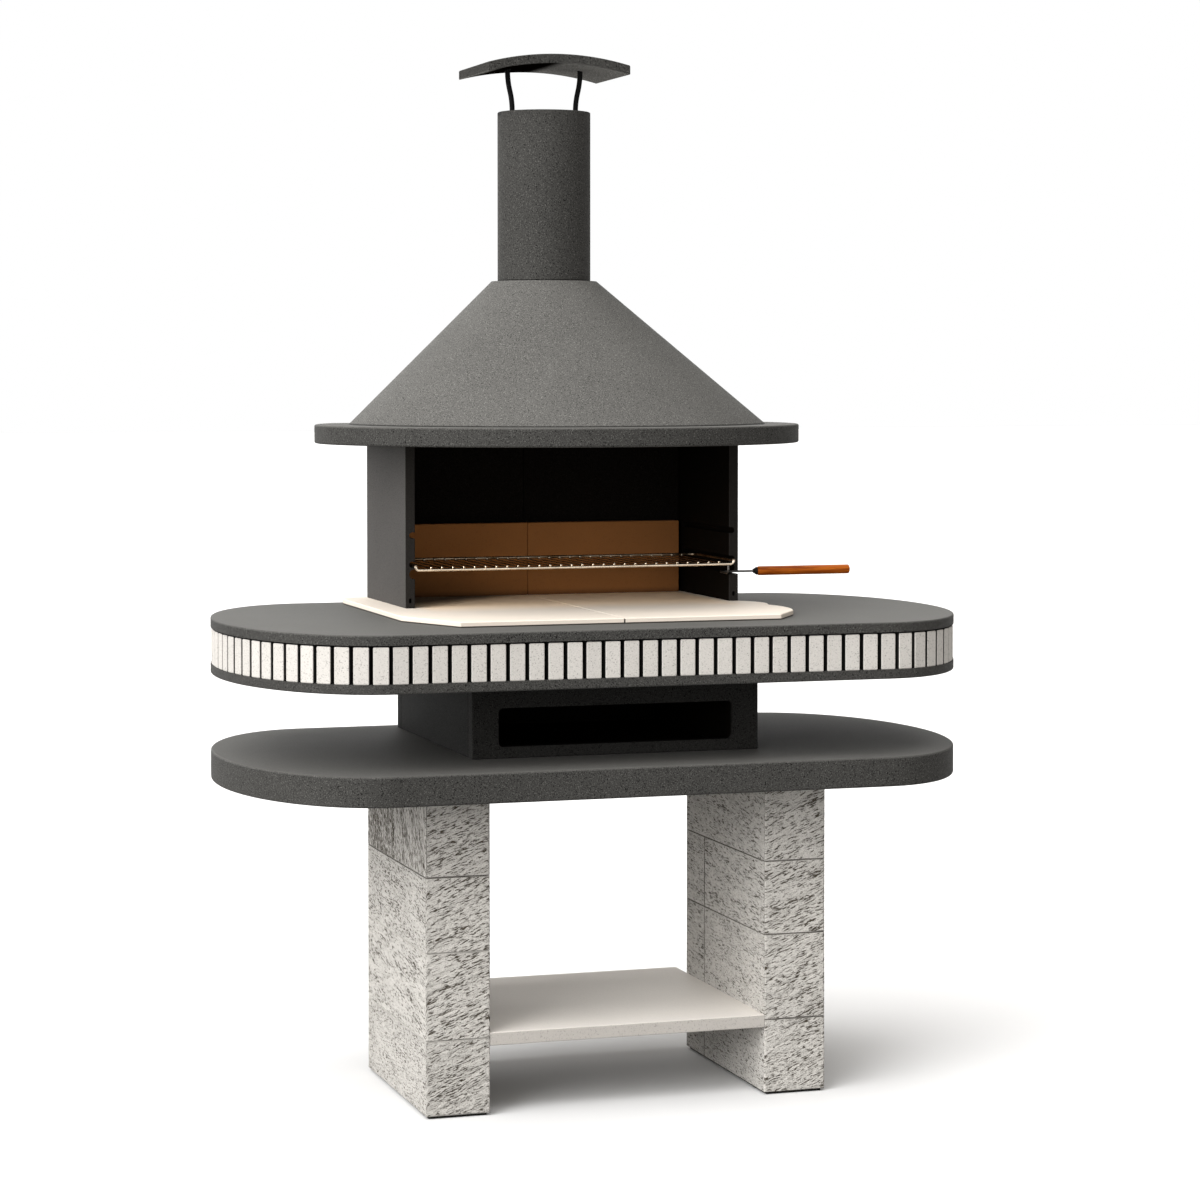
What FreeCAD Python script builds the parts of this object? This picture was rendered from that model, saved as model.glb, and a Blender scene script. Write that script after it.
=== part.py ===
import FreeCAD, Part
import math
import os

import Sketcher

# Outdoor fireplace grill: two stone pillars, base slab, wood niche, slatted worktop, firebox with a
# sliding grate, hood, flue and rain cap. Millimetres and degrees.
# Origin on the ground under the middle of the slab: +X to the handle side, +Y to the back, +Z up.

Vector = FreeCAD.Vector

SIZES = (
    # Base slab and worktop outline
    ("slab_length", 1500, "length of the base slab and of the worktop"),
    ("slab_depth", 840, "depth of the base slab and of the worktop"),
    ("slab_end_length", 255, "length of each rounded end"),
    ("base_slab_thickness", 58, "thickness of the base slab"),
    ("slab_edge_round", 4, "rounding of the base slab's edges"),
    # Pillars
    ("pad_thickness", 5, "height of the levelling pads"),
    ("pad_setback", 6, "how far a pad stands back from its pillar's faces"),
    ("pillar_gap", 560, "clear width between the pillars"),
    ("pillar_width", 127, "width of a pillar"),
    ("pillar_depth", 463, "depth of a pillar"),
    ("pillar_setback", 131, "pillar front behind the slab's front edge"),
    ("course_one_height", 144, "height of the bottom course"),
    ("course_two_height", 168, "height of the second course"),
    ("course_three_height", 145, "height of the third course"),
    ("course_four_height", 155, "height of the top course"),
    ("rear_block_depth", 112, "depth of the right pillar's rear blocks"),
    ("top_block_depth", 249, "depth of the left pillar's front block in the top course"),
    ("block_edge", 1.5, "bevel along the edges of the stone blocks"),
    # Lower shelf
    ("shelf_thickness", 25, "thickness of the lower shelf"),
    ("shelf_rise", 10, "shelf top above the joint between the first two courses"),
    ("shelf_overhang", 70, "shelf behind the pillars' back faces"),
    ("shelf_tongue", 22, "length of the shelf's tongues in the pillars"),
    ("tongue_setback", 25, "tongue behind the pillar's front face"),
    ("tongue_fit", 1, "clearance at the end of a tongue"),
    ("shelf_edge_round", 2, "rounding of the shelf's front and back edges"),
    # Pedestal with the wood niche
    ("pedestal_width", 588, "width of the pedestal"),
    ("pedestal_depth", 584, "depth of the pedestal"),
    ("pedestal_height", 152, "height of the pedestal"),
    ("pedestal_setback", 207, "pedestal front behind the slab's front edge"),
    ("panel_thickness", 30, "thickness of the pedestal's panels"),
    ("panel_edge", 1.5, "bevel along the edges of panels and bricks"),
    ("niche_width", 482, "width of the niche opening"),
    ("niche_height", 75.5, "height of the niche opening"),
    ("niche_sill", 22, "height of the sill below the niche opening"),
    ("niche_corner", 10, "corner radius of the niche opening"),
    # Worktop
    ("bottom_plate_thickness", 18.5, "thickness of the worktop's bottom plate"),
    ("top_plate_thickness", 19.5, "thickness of the worktop's top plate"),
    ("plate_edge_round", 3, "rounding of the plates' outer edges"),
    ("slat_height", 72.5, "height of the slats"),
    ("slat_width", 29.5, "width of a slat"),
    ("slat_gap", 8, "gap between two slats"),
    ("slat_thickness", 20, "thickness of a slat"),
    ("slat_recess", 1.5, "slat face behind the plates' edge"),
    ("slat_bed", 2, "bedding between the slats and the core"),
    # Hearth
    ("hearth_depth", 707, "depth of the hearth"),
    ("hearth_setback", 123, "hearth front behind the worktop's front edge"),
    ("hearth_thickness", 11, "thickness of the hearth tiles"),
    ("left_tile_reach", 58, "left tile beyond the left wall's outer face"),
    ("left_corner_width", 72, "width cut off at the left tile's front corner"),
    ("left_corner_depth", 170, "depth cut off at the left tile's front corner"),
    ("left_rear_round", 50, "radius of the left tile's rear corner"),
    ("right_corner_width", 43, "width cut off at the right tile's front corner"),
    ("right_corner_depth", 89, "depth cut off at the right tile's front corner"),
    ("right_corner_reach", 16, "right tile's front corner beyond the right wall's outer face"),
    ("scallop_reach", 21.5, "tip between the right tile's two curves beyond the right wall's outer face"),
    ("rear_scallop_length", 116, "length of the right tile's rear curve, before the wall's front"),
    ("front_scallop_radius", 227, "radius of the right tile's front curve"),
    ("rear_scallop_radius", 90, "radius of the right tile's rear curve"),
    ("tile_joint", 1, "joint between two tiles, panels or bricks"),
    ("joint_offset", 12, "joint of tiles, panels and bricks left of the middle"),
    # Firebox
    ("firebox_width", 670, "clear width of the firebox"),
    ("wall_thickness", 19.5, "thickness of the side walls"),
    ("wall_depth", 325, "depth of the side walls"),
    ("wall_height", 328, "height of the side walls"),
    ("wall_setback", 485, "wall front behind the worktop's front edge"),
    ("wall_edge", 1, "bevel along the walls' edges"),
    ("back_panel_thickness", 18, "thickness of the back panels"),
    ("back_panel_inset", 9, "back panels inside the walls' outer faces"),
    ("fireback_thickness", 30, "thickness of the firebrick panels"),
    ("fireback_height", 153, "height of the firebrick panels"),
    ("fireback_gap", 7.5, "gap between the firebrick panels and the walls"),
    ("groove_depth", 12, "depth of the grate grooves"),
    ("groove_length", 295, "length of the grate grooves from the walls' front"),
    ("groove_height", 12.5, "height of the upper and middle grooves"),
    ("upper_groove_level", 140, "floor of the upper grooves above the hearth"),
    ("middle_groove_level", 81.5, "floor of the middle grooves above the hearth"),
    ("lower_groove_level", 58.5, "floor of the lower grooves above the hearth"),
    ("lower_groove_height", 19.5, "height of the lower grooves"),
    ("anchor_hole_width", 6, "width of the anchor holes in the walls' front"),
    ("anchor_hole_height", 10, "height of the anchor holes"),
    ("anchor_hole_level", 10, "bottom of the anchor holes above the hearth"),
    ("anchor_hole_depth", 12, "depth of the anchor holes"),
    # Hood
    ("rim_half_length", 505, "half length of the hood's rim plate"),
    ("rim_half_depth", 435, "half depth of the rim's ellipse"),
    ("rim_setback", 599, "middle of the rim behind the worktop's front edge"),
    ("rim_back", 236, "flat back of the rim behind its middle"),
    ("rim_thickness", 38, "thickness of the rim plate"),
    ("rim_edge_round", 4, "rounding of the rim's edges"),
    ("smoke_opening_width", 600, "width of the opening in the rim"),
    ("smoke_opening_front", 329, "front of the opening before the rim's middle"),
    ("smoke_opening_back", 193, "back of the opening behind the rim's middle"),
    ("smoke_opening_corner", 170, "corner radius of the opening in the rim"),
    ("cone_half_length", 434.5, "half length of the cone's foot"),
    ("cone_half_depth", 378, "half depth of the cone's foot"),
    ("cone_back", 221, "flat back of the cone behind the rim's middle"),
    ("cone_height", 296, "height of the cone"),
    ("cone_top_radius", 110, "outer radius of the cone's top"),
    ("cone_wall", 20, "wall of the cone at its foot"),
    ("throat_radius", 88, "radius of the hole in the cone's top"),
    # Flue and rain cap
    ("flue_setback", 699, "flue axis behind the worktop's front edge"),
    ("flue_radius", 97, "outer radius of the flue"),
    ("flue_wall", 7, "wall of the flue"),
    ("flue_height", 352, "height of the flue above the cone"),
    ("flue_edge", 1.5, "bevel of the flue's mouth"),
    ("spigot_depth", 25, "depth of the flue's spigot in the cone"),
    ("spigot_wall", 5, "wall of the spigot"),
    ("spigot_fit", 0.5, "clearance between the spigot and the cone"),
    ("strap_width", 22, "width of the strap across the flue's mouth"),
    ("strap_thickness", 8, "thickness of the strap"),
    ("strap_inset", 1, "strap ends inside the flue's outer face"),
    ("post_radius", 5.4, "radius of the cap posts"),
    ("post_low_offset", 69, "post axis from the flue axis at the strap"),
    ("post_high_offset", 79, "post axis from the flue axis at the cap"),
    ("post_straight", 3, "straight length at each end of a post"),
    ("post_socket", 9, "depth of the posts' sockets in the cap"),
    ("post_fit", 0.1, "clearance round the posts"),
    ("cap_length", 305, "length of the rain cap"),
    ("cap_depth", 230, "depth of the rain cap"),
    ("cap_thickness", 19, "thickness of the rain cap"),
    ("cap_rise", 20, "rise of the rain cap's arch"),
    ("cap_clearance", 93.5, "crown of the cap's underside above the flue"),
    ("cap_edge", 1.5, "bevel along the cap's edges"),
    # Grate
    ("grate_front_gap", 17, "front rail before the walls' front"),
    ("grate_depth", 234, "front rail to back rod"),
    ("rail_radius", 2.75, "radius of the front rail"),
    ("rail_bend", 7, "bend radius of the rail's upturned ends"),
    ("runner_radius", 3, "radius of the frame rod"),
    ("runner_reach", 3, "runner axis behind the walls' inner faces"),
    ("runner_bend", 18, "bend radius of the frame rod"),
    ("runner_clearance", 0.3, "clearance of a runner above its groove's floor"),
    ("wire_radius", 1.3, "radius of the wires"),
    ("wire_count", 28, "number of wires"),
    ("wire_margin", 29, "first and last wire from the walls' inner faces"),
    ("wire_overhang", 2.5, "wires past the axes of the front rail and the back rod"),
    ("weld_depth", 0.4, "depth to which welded rods sink into each other"),
    # Handle
    ("stem_radius", 2.25, "radius of the handle's stem"),
    ("stem_bend", 8, "bend radius of the stem"),
    ("stem_drop", 18.5, "stem axis below the front rail"),
    ("stem_inset", 8.5, "stem axis inside the right wall's inner face"),
    ("stem_setback", 35, "stem axis behind the walls' front"),
    ("stem_slot_room", 0.75, "room above and below the stem in its slot"),
    ("stem_stop_gap", 0.5, "gap between the stem and the end of its slot"),
    ("stem_seat", 70, "length of the stem in the grip"),
    ("stem_fit", 0.05, "clearance round the stem in the grip and the ferrule"),
    ("grip_gap", 54.5, "grip from the right wall's outer face"),
    ("grip_length", 206, "length of the grip"),
    ("grip_radius", 9.5, "radius of the grip"),
    ("grip_bevel", 4, "bevel at the grip's inner end"),
    ("grip_end_round", 3, "rounding of the grip's outer end"),
    ("ferrule_length", 9, "length of the ferrule"),
    ("ferrule_radius", 8, "radius of the ferrule at the grip"),
    ("ferrule_flange", 1.5, "straight length of the ferrule at the grip"),
    ("ferrule_tip", 1.2, "wall of the ferrule at its tip"),
)

PLACES = (
    # Heights, stacked from the ground up
    ("course_two_floor", "sizes.pad_thickness + sizes.course_one_height"),
    ("shelf_top", "course_two_floor + sizes.shelf_rise"),
    ("course_three_floor", "course_two_floor + sizes.course_two_height"),
    ("course_four_floor", "course_three_floor + sizes.course_three_height"),
    ("base_slab_bottom", "course_four_floor + sizes.course_four_height"),
    ("base_slab_top", "base_slab_bottom + sizes.base_slab_thickness"),
    ("worktop_bottom", "base_slab_top + sizes.pedestal_height"),
    ("slat_bottom", "worktop_bottom + sizes.bottom_plate_thickness"),
    ("top_plate_bottom", "slat_bottom + sizes.slat_height"),
    ("worktop_top", "top_plate_bottom + sizes.top_plate_thickness"),
    ("hearth_top", "worktop_top + sizes.hearth_thickness"),
    ("rim_bottom", "hearth_top + sizes.wall_height"),
    ("cone_bottom", "rim_bottom + sizes.rim_thickness"),
    ("flue_bottom", "cone_bottom + sizes.cone_height"),
    ("flue_top", "flue_bottom + sizes.flue_height"),
    ("strap_bottom", "flue_top - sizes.strap_thickness"),
    ("cap_crown", "flue_top + sizes.cap_clearance + sizes.cap_thickness"),
    # Depths, measured back from the front edge of the slab and of the worktop
    ("slab_front", "-sizes.slab_depth / 2"),
    ("pillar_front", "slab_front + sizes.pillar_setback"),
    ("pillar_back", "pillar_front + sizes.pillar_depth"),
    ("pedestal_front", "slab_front + sizes.pedestal_setback"),
    ("pedestal_back", "pedestal_front + sizes.pedestal_depth"),
    ("hearth_front", "slab_front + sizes.hearth_setback"),
    ("hearth_back", "hearth_front + sizes.hearth_depth"),
    ("wall_front", "slab_front + sizes.wall_setback"),
    ("wall_back", "wall_front + sizes.wall_depth"),
    ("rim_middle", "slab_front + sizes.rim_setback"),
    ("flue_axis", "slab_front + sizes.flue_setback"),
    # Widths, measured from the middle
    ("pillar_inner", "sizes.pillar_gap / 2"),
    ("pillar_outer", "pillar_inner + sizes.pillar_width"),
    ("wall_inner", "sizes.firebox_width / 2"),
    ("wall_outer", "wall_inner + sizes.wall_thickness"),
    ("left_joint", "-sizes.joint_offset - sizes.tile_joint / 2"),
    ("right_joint", "sizes.tile_joint / 2 - sizes.joint_offset"),
    # Arch of the rain cap and height of the posts
    ("cap_radius", "(sizes.cap_length ^ 2 / 4 + sizes.cap_rise ^ 2) / (2 * sizes.cap_rise)"),
    ("arch_drop", "cap_radius - sqrt(cap_radius ^ 2 - sizes.post_high_offset ^ 2)"),
    ("post_top", "cap_crown - sizes.cap_thickness - arch_drop + sizes.post_socket"),
    ("post_sway", "sizes.post_high_offset - sizes.post_low_offset"),
    ("post_sway_bottom", "strap_bottom + sizes.strap_thickness + sizes.post_straight"),
    ("post_sway_top", "post_top - sizes.post_socket - sizes.post_straight"),
    ("post_sway_height", "post_sway_top - post_sway_bottom"),
    ("post_bend", "(post_sway_height ^ 2 + post_sway ^ 2) / (4 * post_sway)"),
    # Grate and handle
    ("runner_side", "wall_inner + sizes.runner_reach"),
    ("groove_floor", "hearth_top + sizes.middle_groove_level"),
    ("runner_level", "groove_floor + sizes.runner_clearance + sizes.runner_radius"),
    ("wire_level", "runner_level - sizes.runner_radius - sizes.wire_radius + sizes.weld_depth"),
    ("rail_level", "wire_level - sizes.wire_radius - sizes.rail_radius + sizes.weld_depth"),
    ("wire_span", "sizes.firebox_width - 2 * sizes.wire_margin"),
    ("rail_front", "wall_front - sizes.grate_front_gap"),
    ("grate_back", "rail_front + sizes.grate_depth"),
    ("stem_level", "rail_level - sizes.stem_drop"),
    ("stem_line", "wall_front + sizes.stem_setback"),
    ("slot_half", "sizes.stem_radius + sizes.stem_slot_room"),
    ("slot_end", "stem_line + sizes.stem_radius + sizes.stem_stop_gap - slot_half"),
    ("grip_start", "wall_outer + sizes.grip_gap"),
    ("grip_end", "grip_start + sizes.grip_length"),
)

doc = FreeCAD.newDocument("outdoor_fireplace_grill")
nodes = []


def write_sheet(name, rows):
    """A sheet of named values with what each of them means."""
    sheet = doc.addObject("Spreadsheet::Sheet", name)
    for line, row in enumerate(rows, start=1):
        alias, text = row[0], row[1]
        sheet.set(f"A{line}", alias)
        sheet.set(f"B{line}", text)
        sheet.setAlias(f"B{line}", alias)
        if len(row) > 2:
            sheet.set(f"C{line}", row[2])
    doc.recompute()
    return sheet


sizes = write_sheet("sizes", [(alias, str(value), meaning) for alias, value, meaning in SIZES])
places = write_sheet("places", [(alias, f"={formula}") for alias, formula in PLACES])


def number(expression):
    """The present value of an expression in sheet names."""
    return float(sizes.evalExpression(expression))


def keep(item, label):
    """Name a finished sub-part and list it for writing."""
    item.Label = label
    nodes.append(item)
    return item


# Sketches

def new_body(label):
    """An empty body that becomes one sub-part."""
    return keep(doc.addObject("PartDesign::Body", label), label)


def new_sketch(body, role, lift="0"):
    """A sketch on one of the body's own origin planes, lifted along the plane's normal."""
    sketch = body.newObject("Sketcher::SketchObject", f"{body.Name}_sketch")
    plane = next(item for item in body.Origin.OriginFeatures if item.Role == role)
    sketch.AttachmentSupport = (plane, [""])
    sketch.MapMode = "FlatFace"
    sketch.setExpression("AttachmentOffset.Base.z", lift)
    return sketch


def bind(sketch, constraint, expression):
    """Add a dimension and tie it to the sheets."""
    index = sketch.addConstraint(constraint)
    name = f"dimension_{index}"
    sketch.renameConstraint(index, name)
    sketch.setExpression(f"Constraints.{name}", expression)


def pin(sketch, point, x=None, y=None):
    """Tie a point, given as geometry and end, to its distances from the sketch's origin."""
    for kind, expression in (("DistanceX", x), ("DistanceY", y)):
        if expression is not None:
            bind(sketch, Sketcher.Constraint(kind, -1, 1, *point, number(expression)), expression)


def join(sketch, first, second):
    """Make two points meet."""
    sketch.addConstraint(Sketcher.Constraint("Coincident", *first, *second))


def smaller_arc(first, last, radius, turn):
    """The arc from first to last, turning left for +1 and right for -1, as a left-turning arc."""
    chord = last - first
    rise = math.sqrt(max(radius ** 2 - chord.Length ** 2 / 4, 0))
    left = Vector(-chord.y, chord.x, 0).normalize()
    centre = (first + last) * 0.5 + left * (rise * turn)
    start, end = (first, last) if turn > 0 else (last, first)
    begin = math.atan2(start.y - centre.y, start.x - centre.x)
    finish = math.atan2(end.y - centre.y, end.x - centre.x)
    if finish <= begin:
        finish += 2 * math.pi
    return Part.ArcOfCircle(Part.Circle(centre, Vector(0, 0, 1), radius), begin, finish)


def draw(sketch, corners, arcs=None, closed=True):
    """Lines and arcs through corners given as pairs of expressions.

    arcs maps the number of a side to its turn and its radius; a radius of None is a half circle.
    """
    arcs = arcs or {}
    points = [Vector(number(x), number(y), 0) for x, y in corners]
    sides = len(points) if closed else len(points) - 1
    ends = []
    for side in range(sides):
        first = points[side]
        last = points[(side + 1) % len(points)]
        if side not in arcs:
            line = sketch.addGeometry(Part.LineSegment(first, last))
            ends.append(((line, 1), (line, 2)))
            continue
        turn, radius = arcs[side]
        reach = number(radius) if radius else (last - first).Length / 2
        arc = sketch.addGeometry(smaller_arc(first, last, reach, turn))
        ends.append(((arc, 1), (arc, 2)) if turn > 0 else ((arc, 2), (arc, 1)))
        if radius:
            bind(sketch, Sketcher.Constraint("Radius", arc, reach), radius)
        else:
            sketch.addConstraint(Sketcher.Constraint("Symmetric", arc, 1, arc, 2, arc, 3))
    for side in range(sides if closed else sides - 1):
        join(sketch, ends[side][1], ends[(side + 1) % sides][0])
    for side in range(sides):
        pin(sketch, ends[side][0], *corners[side])
    if not closed:
        pin(sketch, ends[-1][1], *corners[-1])


def draw_circle(sketch, x, y, radius):
    """A circle with its middle and radius tied to the sheets."""
    shape = Part.Circle(Vector(number(x), number(y), 0), Vector(0, 0, 1), number(radius))
    circle = sketch.addGeometry(shape)
    pin(sketch, (circle, 3), x, y)
    bind(sketch, Sketcher.Constraint("Radius", circle, number(radius)), radius)


def rectangle(left, low, right, high):
    """Corners of a rectangle."""
    return [(left, low), (right, low), (right, high), (left, high)]


def rounded_rectangle(left, low, right, high, radius):
    """Corners and arcs of a rectangle with round corners."""
    corners = [
        (f"{left} + {radius}", low),
        (f"{right} - {radius}", low),
        (right, f"{low} + {radius}"),
        (right, f"{high} - {radius}"),
        (f"{right} - {radius}", high),
        (f"{left} + {radius}", high),
        (left, f"{high} - {radius}"),
        (left, f"{low} + {radius}"),
    ]
    return corners, {side: (1, radius) for side in (1, 3, 5, 7)}


def draw_half_ellipse(sketch, side, half_straight, half_depth, end_length, first, last):
    """The rounded end of an oval, from point first to point last, turning left."""
    x, y, reach = number(half_straight), number(half_depth), number(end_length)
    middle = Vector(side * x, 0, 0)
    ellipse = Part.Ellipse(middle - Vector(0, side * y, 0), middle + Vector(side * reach, 0, 0), middle)
    arc = sketch.addGeometry(Part.ArcOfEllipse(ellipse, 0, math.pi))
    sketch.exposeInternalGeometry(arc)
    long_axis, short_axis = arc + 1, arc + 2
    sign = "" if side > 0 else "-"
    join(sketch, (arc, 1), first)
    join(sketch, (arc, 2), last)
    sketch.addConstraint(Sketcher.Constraint("Vertical", long_axis))
    sketch.addConstraint(Sketcher.Constraint("PointOnObject", arc, 3, -1))
    pin(sketch, (arc, 3), x=f"{sign}{half_straight}")
    axis = sketch.Geometry[short_axis]
    tip = 1 if side * axis.StartPoint.x > side * axis.EndPoint.x else 2
    pin(sketch, (short_axis, tip), x=f"{sign}({half_straight} + {end_length})")


def draw_oval(sketch, inset):
    """The outline of slab and worktop, set in from the edge: straight sides and elliptic ends."""
    half_straight = "(sizes.slab_length / 2 - sizes.slab_end_length)"
    half_depth = f"(sizes.slab_depth / 2 - {inset})"
    end_length = f"(sizes.slab_end_length - {inset})"
    x, y = number(half_straight), number(half_depth)
    back = sketch.addGeometry(Part.LineSegment(Vector(x, y, 0), Vector(-x, y, 0)))
    front = sketch.addGeometry(Part.LineSegment(Vector(-x, -y, 0), Vector(x, -y, 0)))
    pin(sketch, (back, 1), half_straight, half_depth)
    pin(sketch, (back, 2), f"-{half_straight}", half_depth)
    pin(sketch, (front, 1), x=f"-{half_straight}")
    pin(sketch, (front, 2), x=half_straight)
    draw_half_ellipse(sketch, 1, half_straight, half_depth, end_length, (front, 2), (back, 1))
    draw_half_ellipse(sketch, -1, half_straight, half_depth, end_length, (back, 2), (front, 1))


# Features

def pad(body, sketch, length):
    """Extrude a sketch along its normal."""
    feature = body.newObject("PartDesign::Pad", f"{body.Name}_pad")
    feature.Profile = sketch
    feature.setExpression("Length", length)
    doc.recompute()
    return feature


def pocket(body, sketch, depth=None):
    """Cut a sketch out against its normal, to a depth or right through."""
    before = body.Shape.Volume
    feature = body.newObject("PartDesign::Pocket", f"{body.Name}_pocket")
    feature.Profile = sketch
    if depth is None:
        feature.Type = "ThroughAll"
    else:
        feature.setExpression("Length", depth)
    doc.recompute()
    if body.Shape.Volume > before - 1:
        raise RuntimeError(f"{body.Label}: a pocket cuts nothing")
    return feature


def revolve(body, sketch, axis):
    """Turn a sketch about one of its own axes."""
    feature = body.newObject("PartDesign::Revolution", f"{body.Name}_revolution")
    feature.Profile = sketch
    feature.ReferenceAxis = (sketch, [axis])
    feature.Angle = 360
    doc.recompute()
    return feature


def pipe(body, profile, path):
    """Sweep a profile along a path."""
    feature = body.newObject("PartDesign::AdditivePipe", f"{body.Name}_pipe")
    feature.Profile = profile
    feature.Spine = (path, [f"Edge{index + 1}" for index in range(len(path.Shape.Edges))])
    doc.recompute()
    return feature


def dress(body, kind, base, size, edges=None):
    """Bevel or round edges of a feature: the named ones, or all of them."""
    feature = body.newObject(f"PartDesign::{kind}", f"{body.Name}_{kind.lower()}")
    feature.Base = (base, edges or [""])
    feature.UseAllEdges = edges is None
    feature.setExpression("Size" if kind == "Chamfer" else "Radius", size)
    doc.recompute()
    return feature


def edges_where(feature, test):
    """Names of the edges whose middle point passes a test."""
    names = []
    for index, edge in enumerate(feature.Shape.Edges, start=1):
        middle = edge.valueAt((edge.FirstParameter + edge.LastParameter) / 2)
        if test(middle):
            names.append(f"Edge{index}")
    return names


def near(value, expression):
    """Whether a coordinate lies at the place an expression gives."""
    return abs(value - number(expression)) < 1e-4


def block(label, low, high, edge):
    """A right-angled block between two corners, with bevelled edges."""
    body = new_body(label)
    sketch = new_sketch(body, "XY_Plane", low[2])
    draw(sketch, rectangle(low[0], low[1], high[0], high[1]))
    slab = pad(body, sketch, f"{high[2]} - ({low[2]})")
    dress(body, "Chamfer", slab, edge)
    return body


def oval_plate(label, low, high, inset, edge, rounded):
    """A plate with the oval outline, rounded along the edges at the given levels."""
    body = new_body(label)
    sketch = new_sketch(body, "XY_Plane", low)
    draw_oval(sketch, inset)
    plate = pad(body, sketch, f"{high} - ({low})")
    if rounded:
        names = edges_where(plate, lambda middle: any(near(middle.z, level) for level in rounded))
        dress(body, "Fillet", plate, edge, names)
    return body


# Support

def pillar_block(label, side, front, back, floor, top):
    """One stone block of the left (-1) or right (1) pillar."""
    left, right = ("-places.pillar_outer", "-places.pillar_inner")
    if side > 0:
        left, right = ("places.pillar_inner", "places.pillar_outer")
    return block(label, (left, front, floor), (right, back, top), "sizes.block_edge")


def tongue_rebate(body, side, front, back, level, depth):
    """The rebate in a block for the end of the shelf, from a level down."""
    inner = "places.pillar_inner" if side > 0 else "-places.pillar_inner"
    reach = "(sizes.shelf_tongue + sizes.tongue_fit)"
    end = f"{inner} + {reach}" if side > 0 else f"{inner} - {reach}"
    sketch = new_sketch(body, "XY_Plane", level)
    draw(sketch, rectangle(inner, front, end, back))
    pocket(body, sketch, depth)


def pillars():
    """Levelling pads and stacked stone blocks."""
    front, back = "places.pillar_front", "places.pillar_back"
    levels = (
        ("sizes.pad_thickness", "places.course_two_floor"),
        ("places.course_two_floor", "places.course_three_floor"),
        ("places.course_three_floor", "places.course_four_floor"),
        ("places.course_four_floor", "places.base_slab_bottom"),
    )
    for name, side in (("left", -1), ("right", 1)):
        left, right = ("-places.pillar_outer", "-places.pillar_inner")
        if side > 0:
            left, right = ("places.pillar_inner", "places.pillar_outer")
        low = (f"{left} + sizes.pad_setback", f"{front} + sizes.pad_setback", "0")
        high = (f"{right} - sizes.pad_setback", f"{back} - sizes.pad_setback", "sizes.pad_thickness")
        block(f"{name}_pillar_pad", low, high, "sizes.pad_thickness / 5")
    rebate_front = f"{front} + sizes.tongue_setback - sizes.tongue_fit"
    rebates = {
        1: ("places.course_two_floor", "sizes.shelf_thickness - sizes.shelf_rise"),
        2: ("places.shelf_top", "sizes.shelf_rise"),
    }
    for course, (floor, top) in enumerate(levels[:3], start=1):
        stone = pillar_block(f"left_pillar_block_{course}", -1, front, back, floor, top)
        if course in rebates:
            tongue_rebate(stone, -1, rebate_front, back, *rebates[course])
    split = f"{front} + sizes.top_block_depth"
    pillar_block("left_pillar_block_4_front", -1, front, split, *levels[3])
    pillar_block("left_pillar_block_4_rear", -1, split, back, *levels[3])
    split = f"{back} - sizes.rear_block_depth"
    for course, (floor, top) in enumerate(levels[:3], start=1):
        fore = pillar_block(f"right_pillar_block_{course}_front", 1, front, split, floor, top)
        rear = pillar_block(f"right_pillar_block_{course}_rear", 1, split, back, floor, top)
        if course in rebates:
            tongue_rebate(fore, 1, rebate_front, split, *rebates[course])
            tongue_rebate(rear, 1, split, back, *rebates[course])
    pillar_block("right_pillar_block_4", 1, front, back, *levels[3])


def lower_shelf():
    """The slab between the pillars, with a tongue at each end."""
    body = new_body("lower_shelf")
    inner, tip = "places.pillar_inner", "(places.pillar_inner + sizes.shelf_tongue)"
    front, back = "places.pillar_front", "places.pillar_back + sizes.shelf_overhang"
    tongue = "places.pillar_front + sizes.tongue_setback"
    half = [(inner, front), (inner, tongue), (tip, tongue), (tip, "places.pillar_back")]
    half += [(inner, "places.pillar_back"), (inner, back)]
    mirrored = [(f"-{x}", y) for x, y in reversed(half)]
    sketch = new_sketch(body, "XY_Plane", "places.shelf_top - sizes.shelf_thickness")
    draw(sketch, half + mirrored)
    board = pad(body, sketch, "sizes.shelf_thickness")
    names = edges_where(board, lambda middle: abs(middle.x) < 1)
    dress(body, "Fillet", board, "sizes.shelf_edge_round", names)


def base_slab():
    """The slab on the pillars."""
    low, high = "places.base_slab_bottom", "places.base_slab_top"
    oval_plate("base_slab", low, high, "0", "sizes.slab_edge_round", (low, high))


# Pedestal and worktop

def pedestal():
    """Four panels round the wood niche, the front one with the opening."""
    floor, top = "places.base_slab_top", "places.worktop_bottom"
    front, back = "places.pedestal_front", "places.pedestal_back"
    half = "sizes.pedestal_width / 2"
    inside = f"({half} - sizes.panel_thickness)"
    behind = f"{front} + sizes.panel_thickness"
    before = f"{back} - sizes.panel_thickness"
    face = block("pedestal_front_panel", (f"-{half}", front, floor), (half, behind, top), "sizes.panel_edge")
    sketch = new_sketch(face, "XZ_Plane", f"-({front})")
    sill = f"({floor} + sizes.niche_sill)"
    mouth = rounded_rectangle(
        "-sizes.niche_width / 2", sill, "sizes.niche_width / 2", f"({sill} + sizes.niche_height)",
        "sizes.niche_corner")
    draw(sketch, *mouth)
    pocket(face, sketch)
    low, high = (f"-{half}", behind, floor), (f"-{inside}", before, top)
    block("pedestal_left_panel", low, high, "sizes.panel_edge")
    block("pedestal_right_panel", (inside, behind, floor), (half, before, top), "sizes.panel_edge")
    block("pedestal_back_panel", (f"-{half}", before, floor), (half, back, top), "sizes.panel_edge")


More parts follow.
